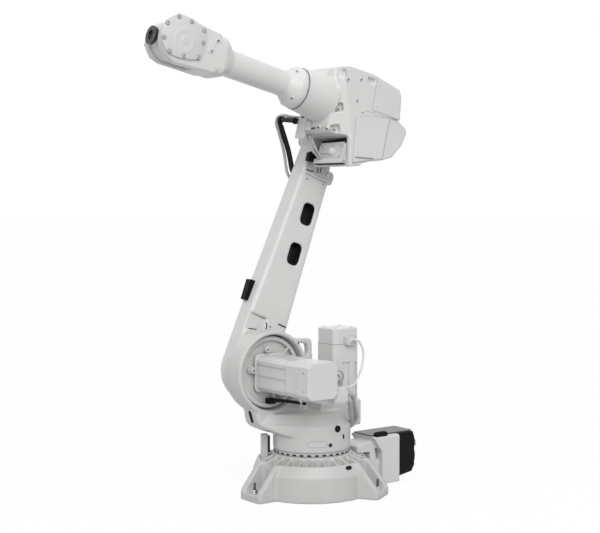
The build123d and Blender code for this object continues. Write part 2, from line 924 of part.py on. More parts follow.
with BuildPart() as housing_lower_cover:
    with BuildSketch(fore_side(housing_side_y - cover_inset)):
        with BuildLine():
            Polyline(
                (core_rear, cover_level),
                (upper_cover_rear, lower_cover_level),
                (lower_cover_rear + 7, lower_cover_out_up + 16),
                (lower_cover_rear, lower_cover_out_up),
                (lower_cover_rear + 14, lower_cover_out_up - 50),
                (lower_cover_toe_at, lower_cover_toe),
                (core_rear, core_low),
                close=True,
            )
        make_face()
    extrude(amount=housing_side_y - housing_far_y - 2 * cover_inset)
save(housing_lower_cover, "housing_lower_cover")

# Side plate over the gear, below the crease
with BuildPart() as housing_side_plate:
    with BuildSketch(fore_side(housing_side_y + side_plate_t)):
        with BuildLine():
            Polyline(
                (bay_mouth - 8, elbow_offset - 44),
                (cover_split - 10, elbow_offset - 22),
                (core_rear + 13, elbow_offset - 10),
                (core_rear, elbow_offset - 10),
                (core_rear, core_low),
                (belly_at, belly_up),
                (bay_mouth_low - 8, housing_heel + 12),
                close=True,
            )
        make_face()
    extrude(amount=side_plate_t)
save(housing_side_plate, "housing_side_plate")

# Motor block in the bay, with the round end of its shaft cover
with BuildPart() as elbow_motor:
    with BuildSketch(fore_side(elbow_block_near_y)):
        with BuildLine():
            Polyline(
                (bay_back, elbow_block_up),
                (bay_back + elbow_block_l, elbow_block_up),
                (bay_back + elbow_block_l - 6, housing_heel + bay_lip + 14),
                (bay_back, housing_heel + bay_lip + 16),
                close=True,
            )
        make_face()
    extrude(amount=elbow_block_near_y - elbow_block_far_y)
    bump_up = (elbow_block_up + housing_heel + bay_lip) / 2 + 4
    bump_y = (elbow_block_near_y + elbow_block_far_y) / 2
    bump_plane = Plane(
        origin=fore_point(bay_back + elbow_block_l - 6, bump_up, bump_y),
        x_dir=(0, 1, 0),
        z_dir=fore_direction(1, 0, 0),
    )
    with BuildSketch(bump_plane):
        Circle(elbow_bump_r)
    extrude(amount=elbow_bump_l, taper=20)
save(elbow_motor, "elbow_motor")

# Bracket plate on the housing's front, with the clamp that holds the conduit
with BuildPart() as bracket_plate:
    with BuildSketch(fore_side(bracket_near_y)):
        with BuildLine():
            Polyline(
                (housing_front, bracket_low),
                (housing_front + bracket_t, bracket_low),
                (housing_front + bracket_t, bracket_high),
                (housing_front, bracket_high),
                close=True,
            )
        make_face()
    extrude(amount=bracket_near_y - bracket_far_y)
    add(upper_arm_housing.part, mode=Mode.SUBTRACT)
save(bracket_plate, "bracket_plate")

clamp_at = housing_front + bracket_t / 2 + 4
with BuildPart() as conduit_clamp:
    with BuildSketch(fore_side(bracket_far_y)):
        with Locations((clamp_at, clamp_low + clamp_h / 2)):
            RectangleRounded(clamp_w, clamp_h, 5)
    extrude(amount=bracket_far_y - clamp_far_y)
save(conduit_clamp, "conduit_clamp")

# Swivel on the elbow axis, behind the lower arm
swivel_base_far_y = arm_far_y - swivel_base_t
with BuildPart() as swivel_base:
    with BuildSketch(fore_side(arm_far_y)):
        Circle(swivel_r + 6)
    extrude(amount=swivel_base_t)
save(swivel_base, "swivel_base")

with BuildPart() as swivel_cap:
    with BuildSketch(fore_side(swivel_base_far_y - hub_clear)):
        Circle(swivel_r)
    extrude(amount=swivel_cap_t)
    fillet(swivel_cap.faces().sort_by(Axis.Y)[0].edges(), 4)
save(swivel_cap, "swivel_cap")

# Conduit and signal cable from the clamp round to the swivel
for name, radius, out, at, aside in (
    ("conduit", conduit_r, 0, clamp_at - 6, 0),
    ("signal_cable", signal_cable_r, 19, clamp_at + 13, signal_cable_aside),
):
    conduit_route = [
        fore_point(at, clamp_low, conduit_y),
        fore_point(78 + out, -62 - out / 3, conduit_y - aside / 6),
        fore_point(44 + out * 0.8, -132 - out * 0.8, conduit_y - aside / 2),
        fore_point(8, -150 - out, conduit_y - aside * 0.9),
        fore_point(-20 - out, -118 - out / 2, conduit_y - aside),
        fore_point(-out / 3, -swivel_r * 0.8, conduit_y - aside),
    ]
    conduit_tube = hose(conduit_route, radius)
    with BuildPart() as fitted_conduit:
        add(conduit_tube.part)
        add(swivel_cap.part, mode=Mode.SUBTRACT)
        add(conduit_clamp.part, mode=Mode.SUBTRACT)
    save(fitted_conduit, name)

# Forearm: turned cup and tube, wrist body and fork, turning on the roll axis
with BuildPart() as forearm:
    with BuildSketch(fore_side(0)):
        with BuildLine():
            Polyline(
                (roll_seam + roll_gap, elbow_offset),
                (roll_seam + roll_gap, elbow_offset + cup_r),
                (roll_seam + cup_straight, elbow_offset + cup_r - 2),
                (roll_seam + cup_straight + 12, elbow_offset + cup_r - 8),
                (roll_seam + cup_straight + 24, elbow_offset + cup_r - 19),
                (cup_end - 8, elbow_offset + tube_root_r + 5),
                (cup_end, elbow_offset + tube_root_r),
                (tube_end, elbow_offset + tube_tip_r),
                (tube_end, elbow_offset),
                close=True,
            )
        make_face()
    revolve(axis=fore_axis)
    with BuildSketch(fore_section(roll_seam + roll_gap)):
        with PolarLocations(cup_r + lug_out - lug_l / 2, lug_count, start_angle=90):
            RectangleRounded(lug_l, lug_w, 5)
    extrude(amount=lug_l)
    with BuildSketch(fore_section(tube_end)):
        Circle(tube_tip_r)
    with BuildSketch(fore_section(wrist_body_start)):
        with Locations(((fork_outer_y + fork_far_y) / 2, 0)):
            RectangleRounded(fork_outer_y - fork_far_y, 2 * wrist_body_r, wrist_round)
    loft()
    with BuildSketch(fore_section(wrist_body_start)):
        with Locations(((fork_outer_y + fork_far_y) / 2, 0)):
            RectangleRounded(fork_outer_y - fork_far_y, 2 * wrist_body_r, wrist_round)
    extrude(amount=elbow_to_wrist - fork_swing_r - wrist_body_start + 8)
    for outer_y, inner_y, radius in (
        (fork_outer_y, fork_slot_y, fork_r),
        (-fork_slot_y, fork_far_y, fork_far_r),
    ):
        with BuildSketch(fore_side(outer_y)):
            with Locations((elbow_to_wrist, elbow_offset)):
                Circle(radius)
            with BuildLine():
                Polyline(
                    (wrist_body_start + 30, elbow_offset + wrist_body_r - 1),
                    (elbow_to_wrist - 10, elbow_offset + radius - 1),
                    (elbow_to_wrist - 10, elbow_offset - radius + 1),
                    (wrist_body_start + 30, elbow_offset - wrist_body_r + 1),
                    close=True,
                )
            make_face()
        extrude(amount=outer_y - inner_y)
    with BuildSketch(fore_side(fork_slot_y)):
        with Locations((elbow_to_wrist, elbow_offset)):
            Circle(fork_swing_r)
        with Locations((elbow_to_wrist + fork_swing_r, elbow_offset)):
            Rectangle(2 * fork_swing_r, 3 * fork_r)
    extrude(amount=2 * fork_slot_y, mode=Mode.SUBTRACT)
save(forearm, "forearm")

for name, y in (("wrist_near_cover", fork_outer_y + wrist_cover_t), ("wrist_far_cover", fork_far_y)):
    with BuildPart() as wrist_cover:
        with BuildSketch(fore_side(y)):
            with Locations((elbow_to_wrist, elbow_offset)):
                Circle(wrist_cover_r)
        extrude(amount=wrist_cover_t)
        outer_face = wrist_cover.faces().sort_by(Axis.Y)[-1 if y > 0 else 0]
        fillet(outer_face.edges(), wrist_cover_round)
    save(wrist_cover, name)

# Tilting wrist body with the neck of the flange
with BuildPart() as wrist_tilt:
    with BuildSketch(fore_side(fork_slot_y - tilt_clear)):
        with Locations((elbow_to_wrist, elbow_offset)):
            Circle(tilt_r)
    extrude(amount=2 * (fork_slot_y - tilt_clear))
    with BuildSketch(fore_side(fork_slot_y - hub_clear)):
        with Locations((elbow_to_wrist, elbow_offset)):
            Circle(tilt_hub_r)
    extrude(amount=2 * (fork_slot_y - hub_clear))
    with BuildSketch(fore_section(elbow_to_wrist)):
        Circle(neck_r)
    extrude(amount=wrist_to_flange - flange_t - roll_gap)
save(wrist_tilt, "wrist_tilt")

# Tool flange
with BuildPart() as tool_flange:
    with BuildSketch(fore_section(elbow_to_wrist + wrist_to_flange - flange_t)):
        Circle(flange_r)
    extrude(amount=flange_t)
    with Locations(fore_section(elbow_to_wrist + wrist_to_flange)):
        Hole(flange_bore_r, depth=flange_bore_depth)
        with PolarLocations(flange_hole_pcd_r, 4, start_angle=45):
            Hole(flange_hole_r, depth=flange_t)
save(tool_flange, "tool_flange")
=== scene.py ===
import math

import bmesh
import bpy
from mathutils import Matrix, Vector
from mathutils.bvhtree import BVHTree


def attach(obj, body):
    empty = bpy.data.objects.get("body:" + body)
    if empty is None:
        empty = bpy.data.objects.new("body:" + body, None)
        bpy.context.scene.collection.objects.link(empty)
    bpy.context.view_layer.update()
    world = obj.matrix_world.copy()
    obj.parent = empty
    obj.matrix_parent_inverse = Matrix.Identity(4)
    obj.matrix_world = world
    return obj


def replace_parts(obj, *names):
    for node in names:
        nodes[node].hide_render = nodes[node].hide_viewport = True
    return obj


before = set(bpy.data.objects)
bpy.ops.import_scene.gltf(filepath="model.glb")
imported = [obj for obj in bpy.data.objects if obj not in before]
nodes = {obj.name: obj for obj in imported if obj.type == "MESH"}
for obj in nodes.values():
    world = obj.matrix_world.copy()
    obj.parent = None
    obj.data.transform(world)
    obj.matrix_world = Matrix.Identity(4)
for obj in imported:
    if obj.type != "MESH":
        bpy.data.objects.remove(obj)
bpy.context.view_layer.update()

mm = 0.001
print("frame loaded:", len(nodes), "cast and turned parts")

# Where the arm's axes run, in millimetres and degrees
arm = {
    "shoulder": (150, 0, 445),
    "lowerLength": 900,
    "lean": 20,            # the lower arm leans back
    "pitch": 13.6,         # the forearm rises towards the tool
    "wristAlong": 795,
    "wristUp": 115,
    "flangeAlong": 85,
    "baseMotor": -122,     # the standing motor behind the base axis
}
lean = math.radians(arm["lean"])
pitch = math.radians(arm["pitch"])
acrossArm = Vector((math.cos(lean), 0, math.sin(lean)))
alongArm = Vector((-math.sin(lean), 0, math.cos(lean)))
forward = Vector((math.cos(pitch), 0, math.sin(pitch)))
upward = Vector((-math.sin(pitch), 0, math.cos(pitch)))
side = Vector((0, 1, 0))
up = Vector((0, 0, 1))
east = Vector((1, 0, 0))
shoulder = Vector(arm["shoulder"]) * mm
elbow = shoulder + alongArm * arm["lowerLength"] * mm

cableSlot = "pale cable sheath"


# ---- places ----

def armPoint(across, y, along):
    return shoulder + (acrossArm * across + side * y + alongArm * along) * mm


def forePoint(along, y, high):
    return elbow + (forward * along + side * y + upward * high) * mm


def forePoints(route):
    return [forePoint(*where) for where in route]


def worldPoints(route):
    return [Vector(where) * mm for where in route]


def place(origin, axis, turn):
    z = Vector(axis).normalized()
    x = Vector(turn)
    x = (x - z * x.dot(z)).normalized()
    spot = Matrix((x, z.cross(x), z)).transposed().to_4x4()
    spot.translation = Vector(origin)
    return spot


def placeAt(x, y, z, axis=side, turn=east):
    return place(Vector((x, y, z)) * mm, axis, turn)


def foreSpot(along, y, high, axis=forward, turn=side):
    return place(forePoint(along, y, high), axis, turn)


def shifted(at, x, y, z=0.0):
    return at @ Matrix.Translation(Vector((x, y, z)) * mm)


def compass(turn):
    # the level direction at this angle in degrees
    return Vector((math.cos(math.radians(turn)), math.sin(math.radians(turn)), 0))


trees = {}


def seat(names, start, direction):
    # the first point of these parts that a line from start meets
    best = None
    for name in names:
        if name not in trees:
            mesh = nodes[name].data
            corners = [v.co.copy() for v in mesh.vertices]
            trees[name] = BVHTree.FromPolygons(corners, [tuple(p.vertices) for p in mesh.polygons])
        hit, normal, _, far = trees[name].ray_cast(start, direction)
        if hit is not None and (best is None or far < best[2]):
            best = (hit, normal, far)
    if best is None:
        raise ValueError("nothing of " + ", ".join(names) + " lies there")
    return best[0], best[1]


def seated(names, start, direction, turn):
    return place(*seat(names, start, direction), turn)


# ---- materials ----

def colour(code):
    parts = [int(code[i:i + 2], 16) / 255 for i in (1, 3, 5)]
    return [c / 12.92 if c <= 0.04045 else ((c + 0.055) / 1.055) ** 2.4 for c in parts] + [1]


def addNode(tree, kind, inputs=None, **settings):
    node = tree.nodes.new(kind)
    for key, value in settings.items():
        setattr(node, key, value)
    for key, value in (inputs or {}).items():
        if isinstance(value, bpy.types.NodeSocket):
            tree.links.new(value, node.inputs[key])
        else:
            node.inputs[key].default_value = value
    return node


def makeFinish(name, look):
    dark, light, rubbed = (colour(code) for code in look["tones"].split())
    rough, spread = look["rough"]
    relief, depth = look["relief"]
    finish = bpy.data.materials.new(name)
    finish.use_nodes = True
    tree = finish.node_tree
    tree.nodes.clear()
    place3d = addNode(tree, "ShaderNodeTexCoord").outputs["Object"]
    cloud, grain = (addNode(tree, "ShaderNodeTexNoise", {
        "Vector": place3d, "Scale": 1 / (look[key] * mm), "Detail": detail, "Roughness": fine})
        for key, detail, fine in (("cloud", 3.0, 0.5), ("grain", 4.0, 0.6)))
    tone = addNode(tree, "ShaderNodeValToRGB", {"Fac": cloud.outputs["Fac"]})
    for stop, position, shade in zip(tone.color_ramp.elements, (0.3, 0.7), (dark, light)):
        stop.position = position
        stop.color = shade
    # edges of a part are rounded in the light, and rub a little paler than the faces
    rounded = addNode(tree, "ShaderNodeBevel", {"Radius": look["edge"] * mm}, samples=4)
    plain = addNode(tree, "ShaderNodeNewGeometry").outputs["Normal"]
    turned = addNode(tree, "ShaderNodeVectorMath", {0: rounded.outputs["Normal"], 1: plain},
                     operation="DOT_PRODUCT")
    worn = addNode(tree, "ShaderNodeMapRange", {
        "Value": turned.outputs["Value"], "From Min": 0.995, "From Max": 0.90,
        "To Min": 0.0, "To Max": look["wear"]})
    rub = addNode(tree, "ShaderNodeMath", {0: worn.outputs["Result"], 1: grain.outputs["Fac"]},
                  operation="MULTIPLY")
    shade = addNode(tree, "ShaderNodeMix", {
        "Factor": rub.outputs["Value"], "A": tone.outputs["Color"], "B": rubbed}, data_type="RGBA")
    gloss = addNode(tree, "ShaderNodeMapRange", {
        "Value": grain.outputs["Fac"], "From Min": 0.3, "From Max": 0.7,
        "To Min": rough - spread, "To Max": rough + spread})
    bump = addNode(tree, "ShaderNodeBump", {
        "Strength": relief, "Distance": depth * mm, "Height": grain.outputs["Fac"],
        "Normal": rounded.outputs["Normal"]})
    skin = addNode(tree, "ShaderNodeBsdfPrincipled", {
        "Base Color": shade.outputs["Result"], "Roughness": gloss.outputs["Result"],
        "Normal": bump.outputs["Normal"], "Metallic": look.get("metal", 0.0),
        "IOR": look.get("ior", 1.5), "Specular IOR Level": look.get("sheen", 0.5)})
    addNode(tree, "ShaderNodeOutputMaterial", {"Surface": skin.outputs["BSDF"]})
    return finish


# Tones are dark, light and rubbed; rough is the middle and its spread; relief is strength and
# depth. Lengths of the patterns, the rounded edge and the depth are in millimetres.
# Sand-cast iron and aluminium under sprayed two-part polyurethane: satin, with a soft cast
# waviness. The real orange peel is near 1 mm, drawn at 5 mm so that it shows at all.
castLook = {"tones": "#CFCFCD #D6D6D5 #E2E2E0", "cloud": 140, "grain": 5, "edge": 3.2, "wear": 0.5,
            "rough": (0.40, 0.05), "relief": (0.22, 0.35)}
castPaint = makeFinish("castPolyurethanePaint", castLook)
# The castings near the floor take the same paint a little darker: painted shade, for the lesser light
# that falls on them than on the arm
turretPaint = makeFinish("castPaintPaintedShade", {
    **castLook, "tones": "#C4C4C2 #CACAC9 #D8D8D6", "rough": (0.42, 0.05)})
basePaint = makeFinish("castPaintDeeperPaintedShade", {
    **castLook, "tones": "#B9B9B7 #C0C0BF #D0D0CE", "rough": (0.44, 0.05)})
# Machined or extruded housings take the same paint on a flatter ground
smoothPaint = makeFinish("sprayedPaintOnExtrusion", {
    "tones": "#CDCDCC #D2D2D1 #DEDEDC", "cloud": 220, "grain": 9, "edge": 1.6, "wear": 0.45,
    "rough": (0.34, 0.03), "relief": (0.10, 0.25)})
# The rear covers are moulded polyurethane shells, matt with a fine texture
coverPaint = makeFinish("mouldedPolyurethaneCover", {
    "tones": "#CECFCF #D5D5D4 #E0E0DF", "cloud": 180, "grain": 3, "edge": 9.0, "wear": 0.3,
    "rough": (0.48, 0.04), "relief": (0.16, 0.2)})
# Glass-filled polyamide, moulded with a spark-eroded texture: nearly black, dull sheen
blackPolyamide = makeFinish("mouldedBlackPolyamide", {
    "tones": "#0A0B0B #101111 #1E1F1F", "cloud": 60, "grain": 2, "edge": 1.5, "wear": 0.5,
    "rough": (0.46, 0.06), "relief": (0.3, 0.2), "ior": 1.53, "sheen": 0.10})
# Powder-coated steel sheet in dark grey: fine leathery sheen
darkSheet = makeFinish("powderCoatedDarkSheet", {
    "tones": "#56585A #606264 #808283", "cloud": 90, "grain": 2.5, "edge": 1.0, "wear": 0.6,
    "rough": (0.42, 0.05), "relief": (0.25, 0.15), "sheen": 0.3})
# Extruded polyurethane hose, grey and slightly waxy
greyHose = makeFinish("extrudedPolyurethaneHose", {
    "tones": "#A9AAAA #B9BABA #C6C7C7", "cloud": 40, "grain": 3, "edge": 0.5, "wear": 0.1,
    "rough": (0.36, 0.05), "relief": (0.15, 0.2), "ior": 1.49})
# Pale vinyl sheath of a small cable, smooth with a faint drawn grain
paleSheath = makeFinish("extrudedVinylSheath", {
    "tones": "#D2D2CE #DCDCD9 #E6E6E3", "cloud": 30, "grain": 2, "edge": 0.4, "wear": 0.1,
    "rough": (0.38, 0.05), "relief": (0.12, 0.1), "ior": 1.53})
# Black nitrile hose with a cloth-wrapped skin: matt, faintly woven
blackHose = makeFinish("wrappedBlackHose", {
    "tones": "#101111 #181919 #2A2B2B", "cloud": 30, "grain": 1.6, "edge": 0.5, "wear": 0.2,
    "rough": (0.5, 0.08), "relief": (0.4, 0.3), "ior": 1.52, "sheen": 0.22})
# Turned steel, phosphated black and oiled: dark with worn bright edges
blackSteel = makeFinish("phosphatedTurnedSteel", {
    "tones": "#3A3A3B #4A4A4B #8C8C8C", "cloud": 12, "grain": 1.5, "edge": 0.8, "wear": 0.9,
    "rough": (0.38, 0.08), "relief": (0.2, 0.1), "metal": 0.9})
# Zinc-plated screws: pale bluish metal, a little cloudy
zincSteel = makeFinish("zincPlatedSteel", {
    "tones": "#A7A9AA #BEC0C1 #DADBDB", "cloud": 8, "grain": 1.2, "edge": 0.4, "wear": 0.5,
    "rough": (0.36, 0.08), "relief": (0.15, 0.05), "metal": 1.0})
# Painted-over screw heads look like the casting but duller
screwPaint = makeFinish("paintedScrewHead", {
    "tones": "#C2C2C1 #CFCFCE #E0E0DE", "cloud": 14, "grain": 1.5, "edge": 0.5, "wear": 0.6,
    "rough": (0.38, 0.06), "relief": (0.2, 0.1)})
# Painted shade, almost black, for the inside of sockets, holes, slots and seams and for shadows between
# parts
shadowGap = makeFinish("paintedShadowGap", {
    "tones": "#121212 #1E1E1E #2A2A2A", "cloud": 10, "grain": 1.5, "edge": 0.3, "wear": 0.1,
    "rough": (0.62, 0.08), "relief": (0.3, 0.1), "ior": 1.48, "sheen": 0.15})
# A narrow joint between painted parts, which collects grey dust; the same grey is painted shade in the
# sockets of the wrist covers' bolts and in the rings round them
seamDustAndShade = makeFinish("seamDustAndShade", {
    "tones": "#7E7E7D #8C8C8B #A0A09F", "cloud": 12, "grain": 1.5, "edge": 0.3, "wear": 0.1,
    "rough": (0.6, 0.08), "relief": (0.2, 0.1), "ior": 1.48})
castTrim = [castPaint, screwPaint, shadowGap]
smoothTrim = [smoothPaint, screwPaint, shadowGap]
print("finishes mixed")

# what isn't named here has the castings' paint
finishOf = {}
for finish, names in (
        (smoothPaint, "axis_one_motor axis_one_motor_cap axis_one_motor_plug shoulder_motor "
                      "shoulder_motor_cap motor_connector rear_housing bracket_plate elbow_motor "
                      "wrist_near_cover wrist_far_cover swivel_cap swivel_base"),
        (coverPaint, "housing_upper_cover housing_lower_cover housing_side_plate"),
        (blackPolyamide, "plug_block brake_release arm_clip turret_plug conduit_clamp"),
        (greyHose, "turret_hose_one turret_hose_two signal_cable"),
        (blackHose, "stop_strip conduit"), (paleSheath, "motor_cable"),
        (darkSheet, "cover_plate"), (blackSteel, "tool_flange"),
        (basePaint, "base_casting stop_post"),
        (turretPaint, "turret_casting shoulder_gear_face")):
    finishOf.update({name: finish for name in names.split()})
for name, node in nodes.items():
    node.data.materials.clear()
    node.data.materials.append(finishOf.get(name, castPaint))


# ---- mesh tools ----

def addObject(name, data):
    thing = bpy.data.objects.new(name, data)
    bpy.context.scene.collection.objects.link(thing)
    return thing


def addPiece(name, data, body):
    piece = addObject(name, data)
    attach(piece, body)
    return piece


def finishMesh(mesh, name, body, finishes, smooth=35):
    bmesh.ops.recalc_face_normals(mesh, faces=mesh.faces)
    data = bpy.data.meshes.new(name)
    mesh.to_mesh(data)
    mesh.free()
    for finish in finishes:
        data.materials.append(finish)
    data.shade_smooth()
    data.set_sharp_from_angle(angle=math.radians(smooth))
    return addPiece(name, data, body)


def addRings(mesh, rings, finish=0, ends=True):
    # walls between rings of as many corners each, and a face at both ends
    count = len(rings[0])
    for below, above in zip(rings, rings[1:]):
        for i in range(count):
            j = (i + 1) % count
            mesh.faces.new((below[i], below[j], above[j], above[i])).material_index = finish
    if ends:
        for ring in (rings[0], rings[-1]):
            mesh.faces.new(ring).material_index = finish


def layer(mesh, outline, height, at):
    return [mesh.verts.new(at @ (Vector((x, y, height)) * mm)) for x, y in outline]


def lathe(mesh, profile, at, steps=32, finish=0):
    # profile rows are radius, height and, for a hexagon, the word hex
    rings = []
    for radius, height, *shape in profile:
        outline = [(0, 0)]
        if radius:
            outline = []
            for i in range(steps):
                turn = 2 * math.pi * i / steps
                reach = radius
                if shape:
                    reach = radius * math.cos(math.pi / 6) / math.cos(turn % (math.pi / 3) - math.pi / 6)
                outline.append((reach * math.cos(turn), reach * math.sin(turn)))
        rings.append(layer(mesh, outline, height, at))
    for low, high in zip(rings, rings[1:]):
        for i in range(steps):
            j = (i + 1) % steps
            if len(low) == 1:
                corners = (low[0], high[j], high[i])
            elif len(high) == 1:
                corners = (low[i], low[j], high[0])
            else:
                corners = (low[i], low[j], high[j], high[i])
            mesh.faces.new(corners).material_index = finish


def roundOutline(width, height, radius, steps=5):
    outline = []
    for cx, cy, first in ((1, 1, 0), (-1, 1, 90), (-1, -1, 180), (1, -1, 270)):
        for i in range(steps + 1):
            turn = math.radians(first + 90 * i / steps)
            outline.append((cx * (width / 2 - radius) + radius * math.cos(turn),
                            cy * (height / 2 - radius) + radius * math.sin(turn)))
    return outline


def inset(outline, amount):
    # moves each side of a convex outline inwards
    result = []
    count = len(outline)
    for i in range(count):
        before, here, after = (Vector(outline[(i + k) % count]) for k in (-1, 0, 1))
        one = (here - before).normalized()
        two = (after - here).normalized()
        normalOne = Vector((-one.y, one.x))
        mid = normalOne + Vector((-two.y, two.x))
        mid = (normalOne if mid.length < 1e-6 else mid).normalized()
        result.append(tuple(here + mid * (amount / max(mid.dot(normalOne), 0.3))))
    return result


def prism(mesh, outline, low, high, at, edge=0.0, finish=0):
    # a plate of this outline between two heights, its upper edge rounded off in two steps
    layers = [(outline, low), (outline, high - edge)]
    if edge > 0:
        layers += [(inset(outline, edge * 0.3), high - edge * 0.3), (inset(outline, edge), high)]
    addRings(mesh, [layer(mesh, points, z, at) for points, z in layers], finish)


def plate(mesh, width, height, radius, low, high, at, edge=0.0, finish=0):
    prism(mesh, roundOutline(width, height, radius), low, high, at, edge, finish)


def socketScrew(mesh, at, radius, height):
    # cap head with a hexagon socket, seated just below the surface, in the second finish; the socket's
    # inside is painted shade in the third finish
    key = radius * 0.56
    lathe(mesh, [(radius, -1), (radius, height - 0.8), (radius - 0.8, height), (key, height, "hex")],
          at, 24, 1)
    lathe(mesh, [(key, height, "hex"), (radius * 0.52, height * 0.45, "hex"), (0, height * 0.4)],
          at, 24, 2)


def tube(name, points, radius, body, finish):
    # a small cable or hose along these points, smooth like the real one
    curve = bpy.data.curves.new(name, "CURVE")
    curve.dimensions = "3D"
    spline = curve.splines.new("NURBS")
    spline.points.add(len(points) - 1)
    for point, where in zip(spline.points, points):
        point.co = (*where, 1)
    spline.order_u = 3
    spline.use_endpoint_u = True
    spline.resolution_u = 8
    curve.bevel_depth = radius * mm
    curve.bevel_resolution = 3
    curve.use_fill_caps = True
    curve.materials.append(finish)
    return addPiece(name, curve, body)


def surfaceLine(corners, drop, step, stretch=1.0):
    # points along straight runs between these corners, each dropped onto a surface
    found = []
    for one, two in zip(corners, corners[1:]):
        length = math.dist((one[0] * stretch, one[1]), (two[0] * stretch, two[1]))
        count = max(2, int(length / step))
        for i in range(count + 1):
            hit, normal = drop(*(a + (b - a) * (i / count) for a, b in zip(one, two)))
            if not found or (hit - found[-1][0]).length > 1 * mm:
                found.append((hit, normal))
    return found


def seamStrip(name, points, width, body, finish, lift=0.25):
    # a thin closed strip that follows surface points, each with its normal
    strip = bmesh.new()
    rings = []
    for i, (point, normal) in enumerate(points):
        way = (points[min(i + 1, len(points) - 1)][0] - points[max(i - 1, 0)][0]).normalized()
        across = way.cross(normal).normalized() * width / 2 * mm
        rings.append([strip.verts.new(point + across * s + normal * h * mm)
                      for s, h in ((-1, -0.6), (-1, lift), (1, lift), (1, -0.6))])
    addRings(strip, rings)
    finishMesh(strip, name, body, [finish])


# ---- castings with the soft corners of a sand mould ----

# rows are body, the mould's grain in millimetres, how often it is fettled, and a part cast with it
castings = {
    "forearm": ("forearm", 3.0, 22),
    "upper_arm_housing": ("upper arm", 3.0, 6),
    "lower_arm_casting": ("lower arm", 3.6, 5),
    "turret_casting": ("turret", 4.0, 8),
    "base_casting": ("base", 4.0, 3),
    "rear_housing": ("base", 3.0, 6),
    "housing_upper_cover": ("upper arm", 3.0, 10),
    "housing_lower_cover": ("upper arm", 2.2, 12, "housing_side_plate"),
}


def softCasting(nodeName, body, grain, rounds, *others):
    joined = [nodeName, *others]
    data = nodes[nodeName].data.copy()
    mesh = bmesh.new()
    for name in joined:
        mesh.from_mesh(nodes[name].data)
    bmesh.ops.remove_doubles(mesh, verts=mesh.verts, dist=0.02 * mm)
    mesh.to_mesh(data)
    mesh.free()
    rough = addObject("roughBlank", data)
    blank = rough.modifiers.new("mould", "REMESH")
    blank.mode = "VOXEL"
    blank.voxel_size = grain * mm
    blank.adaptivity = 0.0
    fettle = rough.modifiers.new("fettle", "SMOOTH")
    fettle.factor = 0.5
    fettle.iterations = rounds
    bpy.context.view_layer.update()
    graph = bpy.context.evaluated_depsgraph_get()
    done = bpy.data.meshes.new_from_object(rough.evaluated_get(graph), depsgraph=graph)
    bpy.data.objects.remove(rough)
    done.materials.clear()
    done.materials.append(nodes[nodeName].data.materials[0])
    done.shade_smooth()
    title = "".join(word.title() for word in nodeName.split("_"))
    piece = addPiece("soft" + title, done, body)
    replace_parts(piece, *joined)
    return piece


for nodeName, look in castings.items():
    piece = softCasting(nodeName, *look)
    print("cast", piece.name, len(piece.data.polygons), "faces")


# ---- wrist ----

def softOutline(points, rounds=3):
    # corners cut again and again until the outline is smooth
    for _ in range(rounds):
        points = [tuple(a + (b - a) * part for a, b in zip(one, two))
                  for one, two in zip(points, points[1:] + points[:1]) for part in (0.25, 0.75)]
    return points


# the near cover is a rounded plate; the far one is round, as far as the photograph shows its edge
wristLook = {
    "nearBolts": ((37, 70), (74, 36), (77, -14), (46, -51), (-9, -50), (-66, -37), (-72, 14),
                  (-66, 55), (-13, 68)),
    "farCount": 9, "farCircle": 59, "farTurn": 0.35,
    "nearFace": 70, "farFace": -58, "margin": 12, "thick": 8.3, "bolt": 6.0, "boltHeight": 3.4,
    "dish": 39, "hub": 11,
}
dish, hub = wristLook["dish"], wristLook["hub"]
farCount, farCircle = wristLook["farCount"], wristLook["farCircle"]
farTurns = [wristLook["farTurn"] + i * math.tau / farCount for i in range(farCount)]
for name, way, bolts in (
        ("near", side, [(x, -z) for x, z in wristLook["nearBolts"]]),
        ("far", -side, [(farCircle * math.cos(turn), farCircle * math.sin(turn)) for turn in farTurns])):
    mesh = bmesh.new()
    at = foreSpot(arm["wristAlong"], wristLook[name + "Face"], arm["wristUp"], way, forward)
    grown = []
    for x, z in bolts:
        share = 1 + wristLook["margin"] / math.hypot(x, z)
        grown.append((x * share, z * share))
    prism(mesh, softOutline(grown), -0.5, wristLook["thick"], at, 2.6)
    # shallow dish and hub in the middle of the cover
    lathe(mesh, [(dish + 6, 7.8), (dish + 3, 8.8), (dish, 9.8), (dish - 3, 10.2), (dish - 8, 9.4),
                 (hub + 8, 9.0), (hub + 2, 9.3), (hub, 10.2), (hub - 3, 10.8), (3.5, 10.8),
                 (2.6, 9.8), (0, 9.6)], at, 64)
    for x, z in bolts:
        spot = shifted(at, x, z, wristLook["thick"])
        # a grey ring of painted shade round each bolt head; its socket is painted shade too
        lathe(mesh, [(8.4, -0.4), (8.4, 0.4), (7.6, 0.9), (6.4, 0.5)], spot, 24, 2)
        socketScrew(mesh, spot, wristLook["bolt"], wristLook["boltHeight"])
    piece = finishMesh(mesh, "wristCover_" + name, "forearm",
                       [smoothPaint, screwPaint, seamDustAndShade])
    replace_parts(piece, "wrist_" + name + "_cover")

